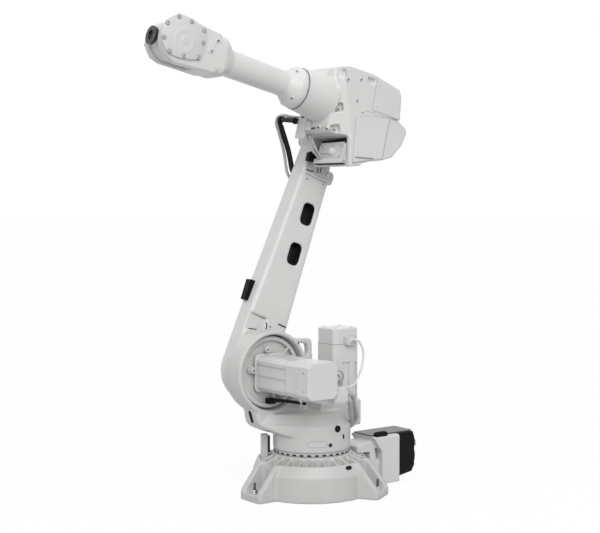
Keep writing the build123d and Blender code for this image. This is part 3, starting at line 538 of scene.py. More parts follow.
# oil plugs and a test port on the side of the wrist body, on their raised pad; the port is a dark disc of
# painted shade
plugLook = {"places": ((664, 156, 6.5), (681, 140, 2.2), (682, 115, 6.5)), "portBelow": 3,
            "height": 3.0, "pad": (683, 127), "padSize": (26, 44), "padSunk": 3}
mesh = bmesh.new()
for along, high, radius in plugLook["places"]:
    at = seated(["forearm"], forePoint(along, 400, high), -side, forward)
    if radius > plugLook["portBelow"]:
        lathe(mesh, [(radius + 1.6, -2), (radius + 1.6, 0.5), (radius + 0.8, 1.1), (radius, 1.1)], at, 28)
        socketScrew(mesh, at, radius, plugLook["height"])
    else:
        lathe(mesh, [(radius, -1), (radius, 0.25), (0, 0.25)], at, 20, 2)
along, high = plugLook["pad"]
hit, normal = seat(["forearm"], forePoint(along, 400, high), -side)
at = place(hit - side * plugLook["padSunk"] * mm, side, forward)
plate(mesh, *plugLook["padSize"], 5, 0, 4.4, at, 1.2)
finishMesh(mesh, "wristPlugs", "forearm", castTrim)
print("wrist dressed")

# ---- tool flange: turned rims and the mouths of its tool holes ----
flangeLook = {"thick": 12, "holes": (45, 135, 225, 315), "circle": 25}
mesh = bmesh.new()
at = foreSpot(arm["wristAlong"] + arm["flangeAlong"] - flangeLook["thick"], 0, arm["wristUp"])
lathe(mesh, [(29.5, -0.2), (31.6, 1.2), (31.6, 4.4), (30.2, 5.4)], at, 64)
lathe(mesh, [(30.2, 8.4), (31.6, 9.2), (31.6, 11.0), (30.8, 12.1), (21.5, 12.1), (21.0, 12.5),
             (17.0, 12.5), (16.2, 11.9), (15.8, 11.0), (15.8, 6.5)], at, 64)
for turn in flangeLook["holes"]:
    spot = shifted(at, flangeLook["circle"] * math.cos(math.radians(turn)),
                   flangeLook["circle"] * math.sin(math.radians(turn)), flangeLook["thick"])
    lathe(mesh, [(4.4, -0.3), (4.4, 0.35), (3.4, 0.35), (3.3, -3)], spot, 20)
finishMesh(mesh, "flangeRims", "flange", [blackSteel])
print("flange dressed")


# ---- upper arm housing ----

housingParts = ["upper_arm_housing", "housing_side_plate", "housing_upper_cover", "housing_lower_cover"]


def onSide(names, along, high):
    return seated(names, forePoint(along, 500, high), -side, forward)


def onHousing(along, high):
    return seat(housingParts, forePoint(along, 500, high), -side)


# rows are along, high and radius on the housing's side
housingLook = {
    "sideScrews": ((58, 203, 5.2), (59, 124, 5.2)),
    "smallHole": (23, 90, 2.2),
    "pocketScrews": ((119, 185), (112, 77), (104, 4)), "pocketScrew": 6.2,
    "coverScrews": ((-36, 208, 3.6), (-36, 126, 3.6)),
    "farScrews": ((58, 203), (59, 124), (-8, 70)), "farScrew": 5.2,
}
mesh = bmesh.new()
for along, high, radius in housingLook["sideScrews"]:
    at = onSide(housingParts, along, high)
    lathe(mesh, [(radius + 3.4, -1), (radius + 3.4, 0.6), (radius + 2.6, 1.2), (radius + 1.0, 1.2),
                 (radius, 0.2)], at, 28)
    socketScrew(mesh, at, radius, 3.0)
# a small hole, its inside a dark disc of painted shade
along, high, radius = housingLook["smallHole"]
at = onSide(housingParts, along, high)
lathe(mesh, [(radius + 1.6, -1), (radius + 1.6, 0.5), (radius, 0.5)], at, 20)
lathe(mesh, [(radius, 0.5), (radius * 0.8, 0.1), (0, 0.1)], at, 20, 2)
for along, high in housingLook["pocketScrews"]:
    at = onSide(["upper_arm_housing"], along, high)
    lathe(mesh, [(8.6, -1), (8.6, 0.8), (8.0, 1.4), (6.2, 1.4)], at, 24)
    socketScrew(mesh, at, housingLook["pocketScrew"], 6.0)
for along, high, radius in housingLook["coverScrews"]:
    at = onSide(housingParts, along, high)
    lathe(mesh, [(radius, -1), (radius, 0.7), (radius * 0.8, 1.2), (radius * 0.3, 1.3)], at, 20, 1)
    lathe(mesh, [(radius * 0.3, 1.3), (radius * 0.3, 0.4), (0, 0.4)], at, 20, 2)
# far side, finished from symmetry, and the plug in the end of the swivel
for along, high in housingLook["farScrews"]:
    at = seated(["upper_arm_housing"], forePoint(along, -500, high), side, forward)
    lathe(mesh, [(8.6, -1), (8.6, 0.6), (7.8, 1.2), (6.2, 1.2), (5.2, 0.2)], at, 28)
    socketScrew(mesh, at, housingLook["farScrew"], 3.0)
at = seated(["swivel_cap"], armPoint(0, -500, arm["lowerLength"]), side, forward)
lathe(mesh, [(15, -1), (15, 1.6), (13.8, 2.8), (9, 2.8)], at, 32)
socketScrew(mesh, at, 9, 3.4)
finishMesh(mesh, "housingScrews", "upper arm", castTrim)

# joints of the moulded covers, and the dark slot low on the side cover
for name, corners, width, finish, lift in (
        ("coverSeam", ((8, 101), (-60, 104), (-110, 104.5), (-158, 103.5)), 2.2, coverPaint, 0.8),
        ("coverEdgeSeam", ((-20.5, 232), (-20.5, 180), (-20.5, 112)), 3.4, coverPaint, 0.5),
        ("lowSlot", ((20, -77), (-20, -70), (-62, -61)), 5.5, seamDustAndShade, 0.4)):
    seamStrip(name, surfaceLine(corners, onHousing, 6), width, "upper arm", finish, lift)
print("housing dressed")

# ---- cavity under the housing: gear motor block, plugs and small cables ----
# outlines are (side, up) in the plane across the forearm; then come depth and rounded edge
mesh = bmesh.new()
bay = foreSpot(25, 0, 0)
cavityLook = {
    "case": (((-72, -30), (62, -28), (62, -90), (-80, -90)), 25, 3.0),
    "ledge": (((-92, -89), (74, -89), (74, -104.6), (-92, -104.6)), 32, 2.0),
    "cheek": (((61, -34), (79, -34), (79, -97), (61, -97)), 29, 2.0),
    "rib": (((-74, -58), (-26, -57), (-26, -66), (-75, -67)), 28, 1.5),
}
for outline, deep, edge in cavityLook.values():
    prism(mesh, outline, 0, deep, bay, edge)
# shade above the case and under the ledge
for outline, deep in ((((-84, -17), (72, -10), (72, -29), (-74, -31)), 16),
                      (((-88, -104.4), (74, -104.4), (74, -107.5), (-88, -107.5)), 29)):
    prism(mesh, outline, 0, deep, bay, 0, 2)
# round cover of the shaft end
spot = foreSpot(50, -2, -58)
lathe(mesh, [(19, -1), (19, 2.5), (16.5, 5), (15, 10), (11.5, 13.4), (6, 15), (0, 15.4)], spot, 40)
for where in ((54, 70, -42), (54, 70, -90), (50, -60, -40), (50, 44, -38), (50, 44, -80)):
    socketScrew(mesh, foreSpot(*where), 3.6, 2.6)
# small cast box and bosses on the front above the bay; a strip beside the box and the bosses' middles are
# dark painted shade
front = foreSpot(139.6, 0, 0)
prism(mesh, [(-56, -6), (-33, -6), (-33, 30), (-56, 30)], 0, 9, front, 1.6)
prism(mesh, [(-30, 1), (-8, 1), (-8, 5.5), (-30, 5.5)], 0, 1.0, front, 0, 2)
for along, y, high, radius in ((138.6, 13, 8.8, 9.5), (132, 55, 3.8, 9.5), (120, -30, -5, 7)):
    spot = foreSpot(along, y, high, (0.82, 0, -0.57))
    lathe(mesh, [(radius, -3), (radius, 4.5), (radius - 1.4, 6), (radius * 0.45, 6)], spot, 28)
    lathe(mesh, [(radius * 0.45, 6), (radius * 0.42, 4), (0, 4)], spot, 20, 2)
finishMesh(mesh, "elbowGearCase", "upper arm", smoothTrim)

bayCables = {
    "elbowCableOne": ((112, -93, 6), (108, -92, -10), (105, -86, -24), (96, -73, -50), (80, -59, -78),
                      (54, -56, -92)),
    "elbowCableTwo": ((112, -72, 6), (108, -70, -9), (104, -66, -20), (94, -55, -46), (78, -44, -74),
                      (52, -42, -92)),
}
for name, route in bayCables.items():
    tube(name, forePoints(route), 3.4, "upper arm", greyHose)
mesh = bmesh.new()
prism(mesh, [(-106, -72), (-91, -70), (-91, -101), (-106, -101)], 20, 58, bay, 2.0)
spot = foreSpot(72, -98.5, -71.5, upward)
lathe(mesh, [(5.6, -1), (5.6, 6), (4.4, 7.5), (0, 7.5)], spot, 20)
finishMesh(mesh, "elbowPlugBlack", "upper arm", [blackPolyamide])

# the conduit and its thin cable bend over into the bracket, in two collars
bends = {
    "conduitBend": ((141, -228, 18), (142, -229, 34), (146, -230, 44), (150, -216, 44),
                    (150, -180, 40), (151, -114, 33)),
    "cableBend": ((149, -229, 8), (158, -229, 22), (161, -231, 38), (157, -229, 52), (154, -214, 58),
                  (153, -186, 57), (151, -150, 50), (150, -114, 46)),
    "collars": ((-124, 34, 13), (-214, 44, 12.5)),
}
piece = tube("conduitBend", forePoints(bends["conduitBend"]), 9.6, "upper arm", blackHose)
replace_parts(piece, "conduit_clamp")
tube("cableBend", forePoints(bends["cableBend"]), 5.2, "upper arm", greyHose)
mesh = bmesh.new()
for y, high, radius in bends["collars"]:
    spot = foreSpot(150, y, high, side, upward)
    lathe(mesh, [(8, -5), (radius, -5), (radius, 5), (8, 5)], spot, 32)
finishMesh(mesh, "conduitCollars", "upper arm", [blackPolyamide])
# painted shade of a slot in the bracket plate
mesh = bmesh.new()
plate(mesh, 24, 7, 3.4, -0.4, 0.35, foreSpot(146, -84, 47))
finishMesh(mesh, "bracketSlotShade", "upper arm", [shadowGap])
print("elbow cavity dressed")

# ---- forearm: oil plugs on the cup and the seam of the roll joint ----
cupLook = {"plugs": ((300, 50), (300, -50), (276, 130), (276, -130)), "plug": 6.0, "seam": 260.3}
mesh = bmesh.new()
for along, turn in cupLook["plugs"]:
    ray = side * math.cos(math.radians(turn)) + upward * math.sin(math.radians(turn))
    spot = seated(["forearm"], forePoint(along, 0, arm["wristUp"]) + ray * 400 * mm, -ray, forward)
    lathe(mesh, [(8.5, -1.5), (8.5, 1.0), (7.4, 1.8), (6.0, 1.8)], spot, 28)
    socketScrew(mesh, spot, cupLook["plug"], 2.8)
finishMesh(mesh, "forearmPlugs", "forearm", castTrim)
mesh = bmesh.new()
spot = foreSpot(cupLook["seam"], 0, arm["wristUp"])
lathe(mesh, [(74.0, -1.2), (77.2, -1.2), (77.2, 0.4), (74.0, 0.4)], spot, 96)
finishMesh(mesh, "rollSeam", "upper arm", [seamDustAndShade])
print("forearm dressed")

# ---- lower arm: dark liners of painted shade in its windows, joint lines, strips of painted shade and screws ----
armLook = {"nearLip": -133.6, "farFace": -204}
windowLook = {"size": (55.6, 83.6), "round": 20, "places": ((-21, 611), (-14, 452)), "wall": 1.2,
              "from": 1.5, "to": 75.5}
outline = roundOutline(*windowLook["size"], windowLook["round"], 8)
thin = inset(outline, windowLook["wall"])
# the liners are almost black: painted shade inside the windows
mesh = bmesh.new()
for across, along in windowLook["places"]:
    spot = place(armPoint(across, armLook["farFace"], along), side, acrossArm)
    rings = [layer(mesh, points, height, spot) for points, height in (
        (outline, windowLook["from"] + 1), (outline, windowLook["to"] - 1.5),
        (thin, windowLook["to"]), (thin, windowLook["from"]))]
    addRings(mesh, rings + rings[:1], ends=False)
finishMesh(mesh, "windowShadeLiners", "lower arm", [shadowGap])
# the loom that passes behind the windows
loomLook = {"loomOne": (-8, 11), "loomTwo": (12, 8),
            "route": ((-20, -176, 380), (-17, -176, 450), (-17, -174, 530), (-22, -176, 610),
                      (-24, -178, 690))}
for name in ("loomOne", "loomTwo"):
    shift, radius = loomLook[name]
    route = [armPoint(across + shift, y, along) for across, y, along in loomLook["route"]]
    tube(name, route, radius, "lower arm", blackHose)


def onArm(across, along):
    return seat(["lower_arm_casting"], armPoint(across, 200, along), -side)


# dark strips along the pocket's edges and in the head's groove are painted shade; the head's edge is a
# dusty joint line
for name, corners, width, finish, lift in (
        ("armPocketTop", ((94, 190), (60, 188), (26, 186)), 3.0, shadowGap, 2.2),
        ("armPocketEdge", ((25.5, 186), (20, 160), (18, 141)), 2.6, shadowGap, 2.4),
        ("armPocketFoot", ((92, 130), (76, 134), (50, 138)), 5.0, shadowGap, 2.6),
        ("armHeadGroove", ((38, 769), (14, 771), (4, 775)), 4.2, shadowGap, 1.2),
        ("armHeadEdge", ((44, 751), (10, 750.4), (-30, 750), (-60, 750)), 2.2, seamDustAndShade, 1.0)):
    seamStrip(name, surfaceLine(corners, onArm, 8), width, "lower arm", finish, lift)
# ribs and a round boss on the lip of the arm's head, with shade between them
headLook = {"ribs": ((-6, 784), (-19, 789), (-32, 794), (-45, 798)), "wide": 6, "tall": 24,
            "deep": 6, "pitch": 6.5, "boss": (-66, -120, 779), "radius": 17}
mesh = bmesh.new()
for across, along in headLook["ribs"]:
    spot = place(armPoint(across, armLook["nearLip"], along), side, acrossArm)
    plate(mesh, headLook["wide"], headLook["tall"], 2.2, 0, headLook["deep"], spot, 1.2)
    spot = place(armPoint(across - headLook["pitch"], armLook["nearLip"], along + 1), side, acrossArm)
    plate(mesh, 7, headLook["tall"] - 3, 2.2, 0, 1.4, spot, 0, 2)
radius = headLook["radius"]
spot = place(armPoint(*headLook["boss"]), side, acrossArm)
lathe(mesh, [(radius, -2), (radius, 3.4), (radius - 1.6, 5), (radius - 8, 5), (radius - 9, 3.6),
             (0, 3.6)], spot, 40)
finishMesh(mesh, "armHeadRibs", "lower arm", castTrim)
# a dark strip of painted shade along a slot at the rear of the arm
seamStrip("armRearSlot", surfaceLine(((-28, 184), (-66, 182)), onArm, 8), 5.0, "lower arm",
          shadowGap, 0.5)

# small screws on the near side, and the bearing cover on the far side of the shoulder
screwLook = {"near": ((4, 165), (-50, 742), (30, 735)), "radius": 4,
             "cover": 84, "coverScrews": 12, "coverScrew": 5.2, "edge": 9}
mesh = bmesh.new()
radius = screwLook["radius"]
for across, along in screwLook["near"]:
    spot = seated(["lower_arm_casting"], armPoint(across, 300, along), -side, acrossArm)
    lathe(mesh, [(radius + 2, -1), (radius + 2, 0.6), (radius, 0.9)], spot, 24)
    socketScrew(mesh, spot, radius, 2.6)
radius = screwLook["cover"]
spot = place(armPoint(0, armLook["farFace"], 0), -side, acrossArm)
lathe(mesh, [(0, -1), (radius, -1), (radius, 5), (radius - 2, 7), (radius - 20, 7.4),
             (radius - 24, 5.4), (16, 5.4), (14, 8.0), (0, 8.4)], spot, 72)
for i in range(screwLook["coverScrews"]):
    turn = math.radians(360 / screwLook["coverScrews"] * i + 15)
    reach = radius - screwLook["edge"]
    socketScrew(mesh, shifted(spot, reach * math.cos(turn), reach * math.sin(turn), 7),
                screwLook["coverScrew"], 4.5)
finishMesh(mesh, "lowerArmScrews", "lower arm", castTrim)
print("lower arm dressed")

# ---- shoulder gear face: rim, motor flange, ribs that fan out from it, two large screws ----
gearLook = {"centre": (150, -52, 445), "rim": 126, "step": 119, "flange": 138, "rib": (38, 8),
            "ribOut": 96, "ribTurns": (100, 118, 136, 154, 172, 190, 208, 226),
            "screws": ((170, -40, 529), (231, -40, 458)), "screw": 6.6}
rim, step = gearLook["rim"], gearLook["step"]
mesh = bmesh.new()
spot = placeAt(*gearLook["centre"])
lathe(mesh, [(rim + 3, -4), (rim + 3, 0.4), (rim, 2.4), (step + 3, 2.8), (step, 1.2), (step - 4, 0.4)],
      spot, 96)
prism(mesh, roundOutline(gearLook["flange"], gearLook["flange"], 20, 6), -0.5, 5, spot, 2.0)
for turn in gearLook["ribTurns"]:
    rib = shifted(spot @ Matrix.Rotation(math.radians(turn), 4, "Z"), gearLook["ribOut"], 0)
    plate(mesh, *gearLook["rib"], 3.5, -0.5, 3.4, rib, 1.8)
for where in gearLook["screws"]:
    head = placeAt(*where)
    lathe(mesh, [(11.5, -1), (11.5, 0.6), (10.6, 1.4), (8.0, 1.4)], head, 32)
    socketScrew(mesh, head, gearLook["screw"], 3.2)
finishMesh(mesh, "shoulderGearTrim", "turret", [turretPaint, screwPaint, shadowGap])


# ---- motors: grooved stators with joint bands, screws, fittings and leads ----

def groovedOutline(width, corner, grooves=(), deep=3.4):
    # a chamfered square, each side with the same grooves, given as spans along the side
    half = width / 2
    one = [(half, -(half - corner))]
    for low, high in grooves:
        one += [(half, low), (half - deep, low), (half - deep, high), (half, high)]
    one.append((half, half - corner))
    return [(x * c - y * d, x * d + y * c)
            for c, d in ((1, 0), (0, 1), (-1, 0), (0, -1)) for x, y in one]


# rows of sections: outline, from, to and finish, in millimetres along the motor's axis
shoulderMotor = {
    "sections": ((groovedOutline(126, 16, ((-34, -27), (5, 17))), -64, 122, 0),
                 (groovedOutline(125.2, 16), 121.5, 180, 0),
                 (groovedOutline(127.4, 16.5), 179.5, 196, 0),
                 (groovedOutline(125.9, 16), 121.2, 122.8, 1),
                 (groovedOutline(125.9, 16), 179.2, 180.8, 1)),
    "endScrews": ((215.3, 234, 477), (215.3, 234, 413)),
    "topScrews": ((182, 234, 510.2), (118, 234, 510.2)),
    "fittings": ((176, 168, 383), (150, 160, 383), (128, 168, 383)),
    "leadEnds": ((85, 238, 476), (85, 226, 462), (85, 238, 446)),
}
baseMotor = {
    "sections": ((groovedOutline(118, 16, ((-24, 7), (30, 42)), 5.0), 330, 471, 0),
                 (groovedOutline(118, 16), 470.5, 538, 0),
                 (groovedOutline(118.5, 16), 537.2, 538.6, 1)),
    "top": 596, "gland": (-126, 77, 552),
}


def stator(name, sections, at, node):
    mesh = bmesh.new()
    for outline, low, high, finish in sections:
        prism(mesh, outline, low, high, at, 0, finish)
    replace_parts(finishMesh(mesh, name, "turret", [smoothPaint, seamDustAndShade]), node)


stator("shoulderStator", shoulderMotor["sections"], placeAt(*arm["shoulder"]),
       "shoulder_motor")

# black block and black tube on the gear face under the motor: painted shadow below the motor, shaped as a
# cable guard and its lead
rootShadowRoute = ((150, -50, 342), (124, -44, 340), (100, -20, 338), (76, -12, 334), (52, -8, 329),
            (24, -4, 323))
mesh = bmesh.new()
plate(mesh, 34, 20, 5, 0, 22, placeAt(146, -65, 340), 2.0)
finishMesh(mesh, "motorRootShadowBlock", "turret", [blackPolyamide])
tube("motorRootShadowTube", worldPoints(rootShadowRoute), 6.0, "turret", blackHose)

mesh = bmesh.new()
for face, spots in ((east, shoulderMotor["endScrews"]), (up, shoulderMotor["topScrews"])):
    for where in spots:
        head = placeAt(*where, face, side)
        lathe(mesh, [(4.6, -1), (4.6, 0.3), (3.8, 0.6)], head, 20)
        socketScrew(mesh, head, 3.6, 1.6)
# three threaded fittings under the motor, the outer two with a short cable each
for where in shoulderMotor["fittings"]:
    lathe(mesh, [(10.5, -1, "hex"), (10.5, 7, "hex"), (9, 7.5), (8.4, 7.5), (8.4, 15), (6.4, 16.5),
                 (3.2, 16.5)], placeAt(*where, -up, east), 24)
finishMesh(mesh, "shoulderMotorFittings", "turret", smoothTrim)
# the other three leave the end of the motor towards the connector box
motorCables = {
    "fittingCableOne": ((176, 168, 366), (176, 168, 352), (168, 150, 342), (140, 120, 338),
                        (112, 96, 330)),
    "fittingCableTwo": ((128, 168, 366), (128, 168, 352), (120, 148, 344), (100, 118, 338),
                        (84, 96, 330)),
    "motorLeadOne": ((85, 238, 476), (66, 240, 476), (44, 236, 464), (36, 226, 440), (40, 218, 417)),
    "motorLeadTwo": ((85, 226, 462), (64, 228, 462), (50, 226, 450), (46, 220, 434), (52, 214, 417)),
    "motorLeadThree": ((85, 238, 446), (68, 242, 446), (56, 240, 438), (58, 234, 426), (66, 228, 417)),
}
for name, route in motorCables.items():
    radius, slot = (3.0, cableSlot) if name.startswith("fitting") else (4.0, "grey rubber")
    tube(name, worldPoints(route), radius, "turret", greyHose)
mesh = bmesh.new()
for where in shoulderMotor["leadEnds"]:
    lathe(mesh, [(8.5, -1, "hex"), (8.5, 4, "hex"), (7, 4.5), (6.4, 10), (4.2, 11)],
          placeAt(*where, -east, up), 24)
# lid and screws of the connector box
head = placeAt(56, 242, 387)
plate(mesh, 52, 56, 5, -0.5, 3.2, head, 1.2)
for x, z in ((-20, 22), (20, 22), (-20, -22), (20, -22)):
    socketScrew(mesh, shifted(head, x, z, 3.2), 2.8, 2.0)
finishMesh(mesh, "connectorTrim", "turret", smoothTrim)
print("shoulder motor dressed")

stator("baseStator", baseMotor["sections"], placeAt(arm["baseMotor"], 0, 0, up, east), "axis_one_motor")
mesh = bmesh.new()
for x, y in ((-36, -36), (36, -36), (36, 36), (-36, 36)):
    head = placeAt(arm["baseMotor"] + x, y, baseMotor["top"], up, east)
    lathe(mesh, [(6.2, -1), (6.2, 0.5), (5.6, 1.0)], head, 24)
    socketScrew(mesh, head, 4.6, 3.6)
# cable gland on the side of its cap
head = placeAt(*baseMotor["gland"])
lathe(mesh, [(12, -1), (12, 1.4), (10.6, 2.6), (8.6, 2.8), (8.6, 7), (7.2, 8.4), (4.2, 8.8)], head, 32)
for x, z in ((-17, 11), (17, 11), (-17, -11), (17, -11)):
    socketScrew(mesh, shifted(head, x, z), 2.4, 1.8)
finishMesh(mesh, "baseMotorTrim", "turret", smoothTrim)
print("base motor dressed")

# ---- turret drum: bearing ring with dark marks of painted shadow between its teeth, two holes of painted shade with paler rims ----
# holes are turn, height, width and length
bearingLook = {"count": 32, "outer": 139.5, "inner": 117, "low": 151.2, "high": 162.6, "pocket": 156.0,
               "start": 0.06, "drum": 142, "holes": ((105.7, 216, 9, 17), (80.3, 192.4, 13, 13))}
outer, inner, low, high = (bearingLook[key] for key in ("outer", "inner", "low", "high"))
mesh = bmesh.new()
lathe(mesh, [(inner, low), (outer - 1, low), (outer, low + 1), (outer, high), (inner, high)],
      placeAt(0, 0, 0, up, east), 128)
# dark marks of painted shadow in the gaps between the ring's teeth
for i in range(bearingLook["count"]):
    turn = 2 * math.pi * i / bearingLook["count"] + bearingLook["start"]
    way = Vector((math.cos(turn), math.sin(turn), 0))
    spot = place((way * outer + up * bearingLook["pocket"]) * mm, way, up)
    plate(mesh, 6.0, 15, 2.6, -1, 0.4, spot, 0, 1)
for turn, z, wide, tall in bearingLook["holes"]:
    way = compass(turn)
    spot = place((way * bearingLook["drum"] + up * z) * mm, way, up)
    plate(mesh, tall, wide, wide / 2.2, -1, 0.35, spot, 0, 1)
    plate(mesh, tall + 5, wide + 5, (wide + 5) / 2.2, -1, 0.2, spot)
finishMesh(mesh, "turretBearingRingAndShade", "turret", [basePaint, shadowGap])


def onDrum(turn, z):
    way = compass(turn)
    return seat(["turret_casting"], way * 0.5 + up * z * mm, -way)


# bare raised pad; corners are turn in degrees and height, a degree of the drum is 2.48 mm long
padCorners = ((44, 196), (47, 206), (52, 210), (68, 210), (73, 206), (76, 196), (72, 188), (50, 188),
              (44, 196))
seamStrip("drumPadEdge", surfaceLine(padCorners, onDrum, 5, 2.48), 2.6, "turret",
          turretPaint, 1.6)
# shade inside the slot of the nose
mesh = bmesh.new()
leanOut = Vector((0.956, 0, -0.292))
head = place((Vector((221.7, -73, 286)) - leanOut * 2) * mm, leanOut, up)
prism(mesh, roundOutline(45, 12.5, 6.0, 6), -0.5, 2.2, head)
finishMesh(mesh, "noseSlotShade", "turret", [shadowGap])
# hole in the lifting eye's web, its middle a dark disc of painted shade
mesh = bmesh.new()
head = seated(["turret_casting"], Vector((40, 400, 545)) * mm, -side, east)
lathe(mesh, [(5.5, -1), (5.5, 0.5), (4.6, 0.9), (3.4, 0.9)], head, 20)
lathe(mesh, [(3.4, 0.9), (3.2, 0.2), (0, 0.2)], head, 20, 1)
finishMesh(mesh, "liftingEyeHole", "turret", [turretPaint, shadowGap])
print("turret dressed")

# ---- base: anchor studs with nut and thread in the foot pockets, painted shade in the rim's slot, rear plugs ----
studLook = {"turns": (0, 120, 240), "out": 256, "up": 26, "threads": 8, "pitch": 2.8}
bolt, root, threadPitch = 4.6, 3.9, studLook["pitch"]
thread = [(bolt, 13)]
for k in range(studLook["threads"]):
    thread += [(bolt, 14.5 + threadPitch * k), (root, 15.9 + threadPitch * k)]
thread += [(root, 37.5), (3.2, 38.6), (0, 38.6)]
mesh = bmesh.new()
for turn in studLook["turns"]:
    way = compass(turn)
    spot = place((way * studLook["out"] + up * studLook["up"]) * mm, up, way)
    lathe(mesh, [(12.5, -0.5), (12.5, 2.4), (11.8, 3.0), (9, 3.0)], spot, 32)
    lathe(mesh, [(10.4, 3.0, "hex"), (10.4, 12, "hex"), (9, 13), (4.6, 13)], spot, 24)
    lathe(mesh, thread, spot, 24, 1)
finishMesh(mesh, "anchorStuds", "base", [zincSteel, blackSteel], smooth=50)

# ridges round the plug block; then plug hoods on the rear face, two with round couplings
rearLook = {
    "near": 86, "face": -429,
    "ridges": ((-386, 158, 80, 5, 2, 2.2), (-386, 60, 80, 5, 2, 2.2), (-345.5, 104, 7, 152, 2.5, 2.8)),
    "hoods": ((38, 140, 84, 30, 8), (18, 90, 36, 38, 7), (60, 90, 36, 38, 9), (34, 54, 76, 16, 6)),
    "couplings": ((-438, 18, 90), (-440, 60, 90)), "latches": ((-432, -10, 140), (-432, 84, 140)),
    "plateScrews": ((-412, 66), (-412, -16), (-232, 66), (-232, -16), (-322, -16)), "plateTop": 191,
}
mesh = bmesh.new()
for x, z, wide, tall, corner, high in rearLook["ridges"]:
    spot = placeAt(x, rearLook["near"], z)
    plate(mesh, wide, tall, corner, -0.5, high, spot, 0.8)
face = placeAt(rearLook["face"], 30, 104, -east, side)
plate(mesh, 100, 112, 6, -0.5, 2.0, face, 0.8)
for y, z, wide, tall, deep in rearLook["hoods"]:
    spot = placeAt(rearLook["face"] - 2, y, z, -east, side)
    plate(mesh, wide, tall, 4, -0.5, deep, spot, 1.6)
for where in rearLook["couplings"]:
    lathe(mesh, [(14, -1), (14, 4), (12.6, 5.4), (9.5, 5.4), (9, 4), (0, 4)],
          placeAt(*where, -east, side), 32)
finishMesh(mesh, "rearPlugHoods", "base", [blackPolyamide])
# latches of the upper hood, and the screws of the cover plate
mesh = bmesh.new()
for where in rearLook["latches"]:
    plate(mesh, 20, 5, 2, -0.5, 5.5, placeAt(*where, -east, up), 1.0)
for x, y in rearLook["plateScrews"]:
    spot = placeAt(x, y, rearLook["plateTop"], up, east)
    lathe(mesh, [(4.4, -1), (4.4, 1.0), (3.4, 2.0), (1.6, 2.2)], spot, 20)
    lathe(mesh, [(1.6, 2.2, "hex"), (1.5, 1.0, "hex"), (0, 1.0)], spot, 24, 1)
finishMesh(mesh, "rearPlateScrews", "base", [zincSteel, shadowGap])
# buttons on the brake release
mesh = bmesh.new()
spot = placeAt(-257.7, 88, 200, up, east)
plate(mesh, 46, 12, 3, -0.5, 1.8, spot, 0.8)
for x in (-14, 0, 14):
    lathe(mesh, [(4.2, 1.6), (4.2, 3.2), (3.4, 4.0), (0, 4.0)], shifted(spot, x, 0), 24)
finishMesh(mesh, "releaseButtons", "base", [blackPolyamide])
# painted shade of a slot in the sloped rim of the base
mesh = bmesh.new()
way = compass(93)
slope = (way * 40 + up * 16).normalized()
spot = place((way * 203.4 + up * 117 - slope * 1.5) * mm, slope, up.cross(way))
prism(mesh, roundOutline(27, 12, 5.8, 6), -0.5, 0.6, spot)
finishMesh(mesh, "rimSlotShade", "base", [shadowGap])
print("base dressed")


# ---- light, floor and camera ----

def shownRays(tree):
    # 1 for what the camera, a gloss or a clear part sees, 0 for light that spreads
    path = addNode(tree, "ShaderNodeLightPath")
    shown = addNode(tree, "ShaderNodeMath", {
        0: path.outputs["Is Camera Ray"], 1: path.outputs["Is Glossy Ray"]}, operation="MAXIMUM")
    shown = addNode(tree, "ShaderNodeMath", {
        0: shown.outputs["Value"], 1: path.outputs["Is Transmission Ray"]}, operation="MAXIMUM")
    return shown.outputs["Value"]


white = (1, 1, 1, 1)
world = bpy.data.worlds.new("studio")
bpy.context.scene.world = world
world.use_nodes = True
tree = world.node_tree
tree.nodes.clear()
fill = addNode(tree, "ShaderNodeBackground", {"Color": white, "Strength": 0.38})
backdrop = addNode(tree, "ShaderNodeBackground", {"Color": white, "Strength": 1.0})
both = addNode(tree, "ShaderNodeMixShader", {
    0: shownRays(tree), 1: fill.outputs["Background"], 2: backdrop.outputs["Background"]})
addNode(tree, "ShaderNodeOutputWorld", {"Surface": both.outputs["Shader"]})

# rows are where the light comes from, its apparent width in degrees and its power
lamps = {
    "key": ((0.30, 0.78, 0.58), 50, 1.22),
    "top": ((-0.05, 0.10, 1.0), 70, 0.55),
    "front": ((0.92, 0.25, 0.35), 60, 0.62),
    "far": ((-0.35, -0.85, 0.45), 80, 0.45),
}
for name, (origin, spread, power) in lamps.items():
    data = bpy.data.lights.new(name, "SUN")
    data.angle = math.radians(spread)
    data.energy = power
    sun = addObject(name, data)
    sun.location = Vector(origin) * 5
    sun.rotation_euler = Vector(origin).to_track_quat("Z", "Y").to_euler()

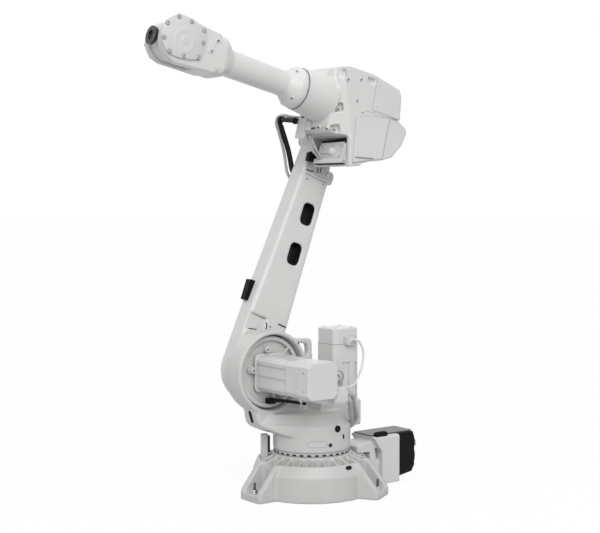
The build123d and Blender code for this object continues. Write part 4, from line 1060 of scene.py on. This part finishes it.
# a softbox high on the right lifts the upper arm a little above the base
softbox = {"at": (1.6, 3.2, 3.0), "to": (0, 0, 1.3), "size": 1.6, "power": 26}
data = bpy.data.lights.new("softbox", "AREA")
data.shape = "DISK"
data.size = softbox["size"]
data.energy = softbox["power"]
box = addObject("softbox", data)
box.location = softbox["at"]
aim = Vector(softbox["to"]) - Vector(softbox["at"])
box.rotation_euler = aim.to_track_quat("-Z", "Y").to_euler()

# the floor shows nearly white and keeps a faint shadow, and lights the arm as a grey one would
mesh = bmesh.new()
half = 60
mesh.faces.new([mesh.verts.new((x * half, y * half, 0))
                for x, y in ((-1, -1), (1, -1), (1, 1), (-1, 1))])
data = bpy.data.meshes.new("studioFloor")
mesh.to_mesh(data)
mesh.free()
floor = addObject("studioFloor", data)
floorLook = bpy.data.materials.new("matteStudioFloor")
floorLook.use_nodes = True
tree = floorLook.node_tree
tree.nodes.clear()
dull = addNode(tree, "ShaderNodeBsdfDiffuse", {"Color": (0.55, 0.55, 0.55, 1)})
bright = addNode(tree, "ShaderNodeBsdfDiffuse", {"Color": (0.95, 0.95, 0.95, 1)})
glow = addNode(tree, "ShaderNodeEmission", {"Color": white, "Strength": 1.0})
blend = addNode(tree, "ShaderNodeMixShader", {
    0: 0.93, 1: bright.outputs["BSDF"], 2: glow.outputs["Emission"]})
both = addNode(tree, "ShaderNodeMixShader", {
    0: shownRays(tree), 1: dull.outputs["BSDF"], 2: blend.outputs["Shader"]})
addNode(tree, "ShaderNodeOutputMaterial", {"Surface": both.outputs["Shader"]})
data.materials.append(floorLook)

# turn and tip in degrees, lens in millimetres, shift as a share of the picture's width
view = {"at": (2.8736, 3.7037, 1.070), "turn": 38, "tip": 3, "lens": 77.4, "shift": -16 / 600}
cameraData = bpy.data.cameras.new("camera")
cameraData.sensor_fit = "HORIZONTAL"
cameraData.sensor_width = 36
cameraData.lens = view["lens"]
cameraData.shift_x = view["shift"]
camera = addObject("camera", cameraData)
camera.location = view["at"]
turn = math.radians(view["turn"])
tip = math.radians(view["tip"])
look = Vector((-math.sin(turn) * math.cos(tip), -math.cos(turn) * math.cos(tip), -math.sin(tip)))
camera.rotation_euler = look.to_track_quat("-Z", "Y").to_euler()
bpy.context.scene.camera = camera
bpy.context.scene.view_settings.view_transform = "Standard"
print("light and camera set")
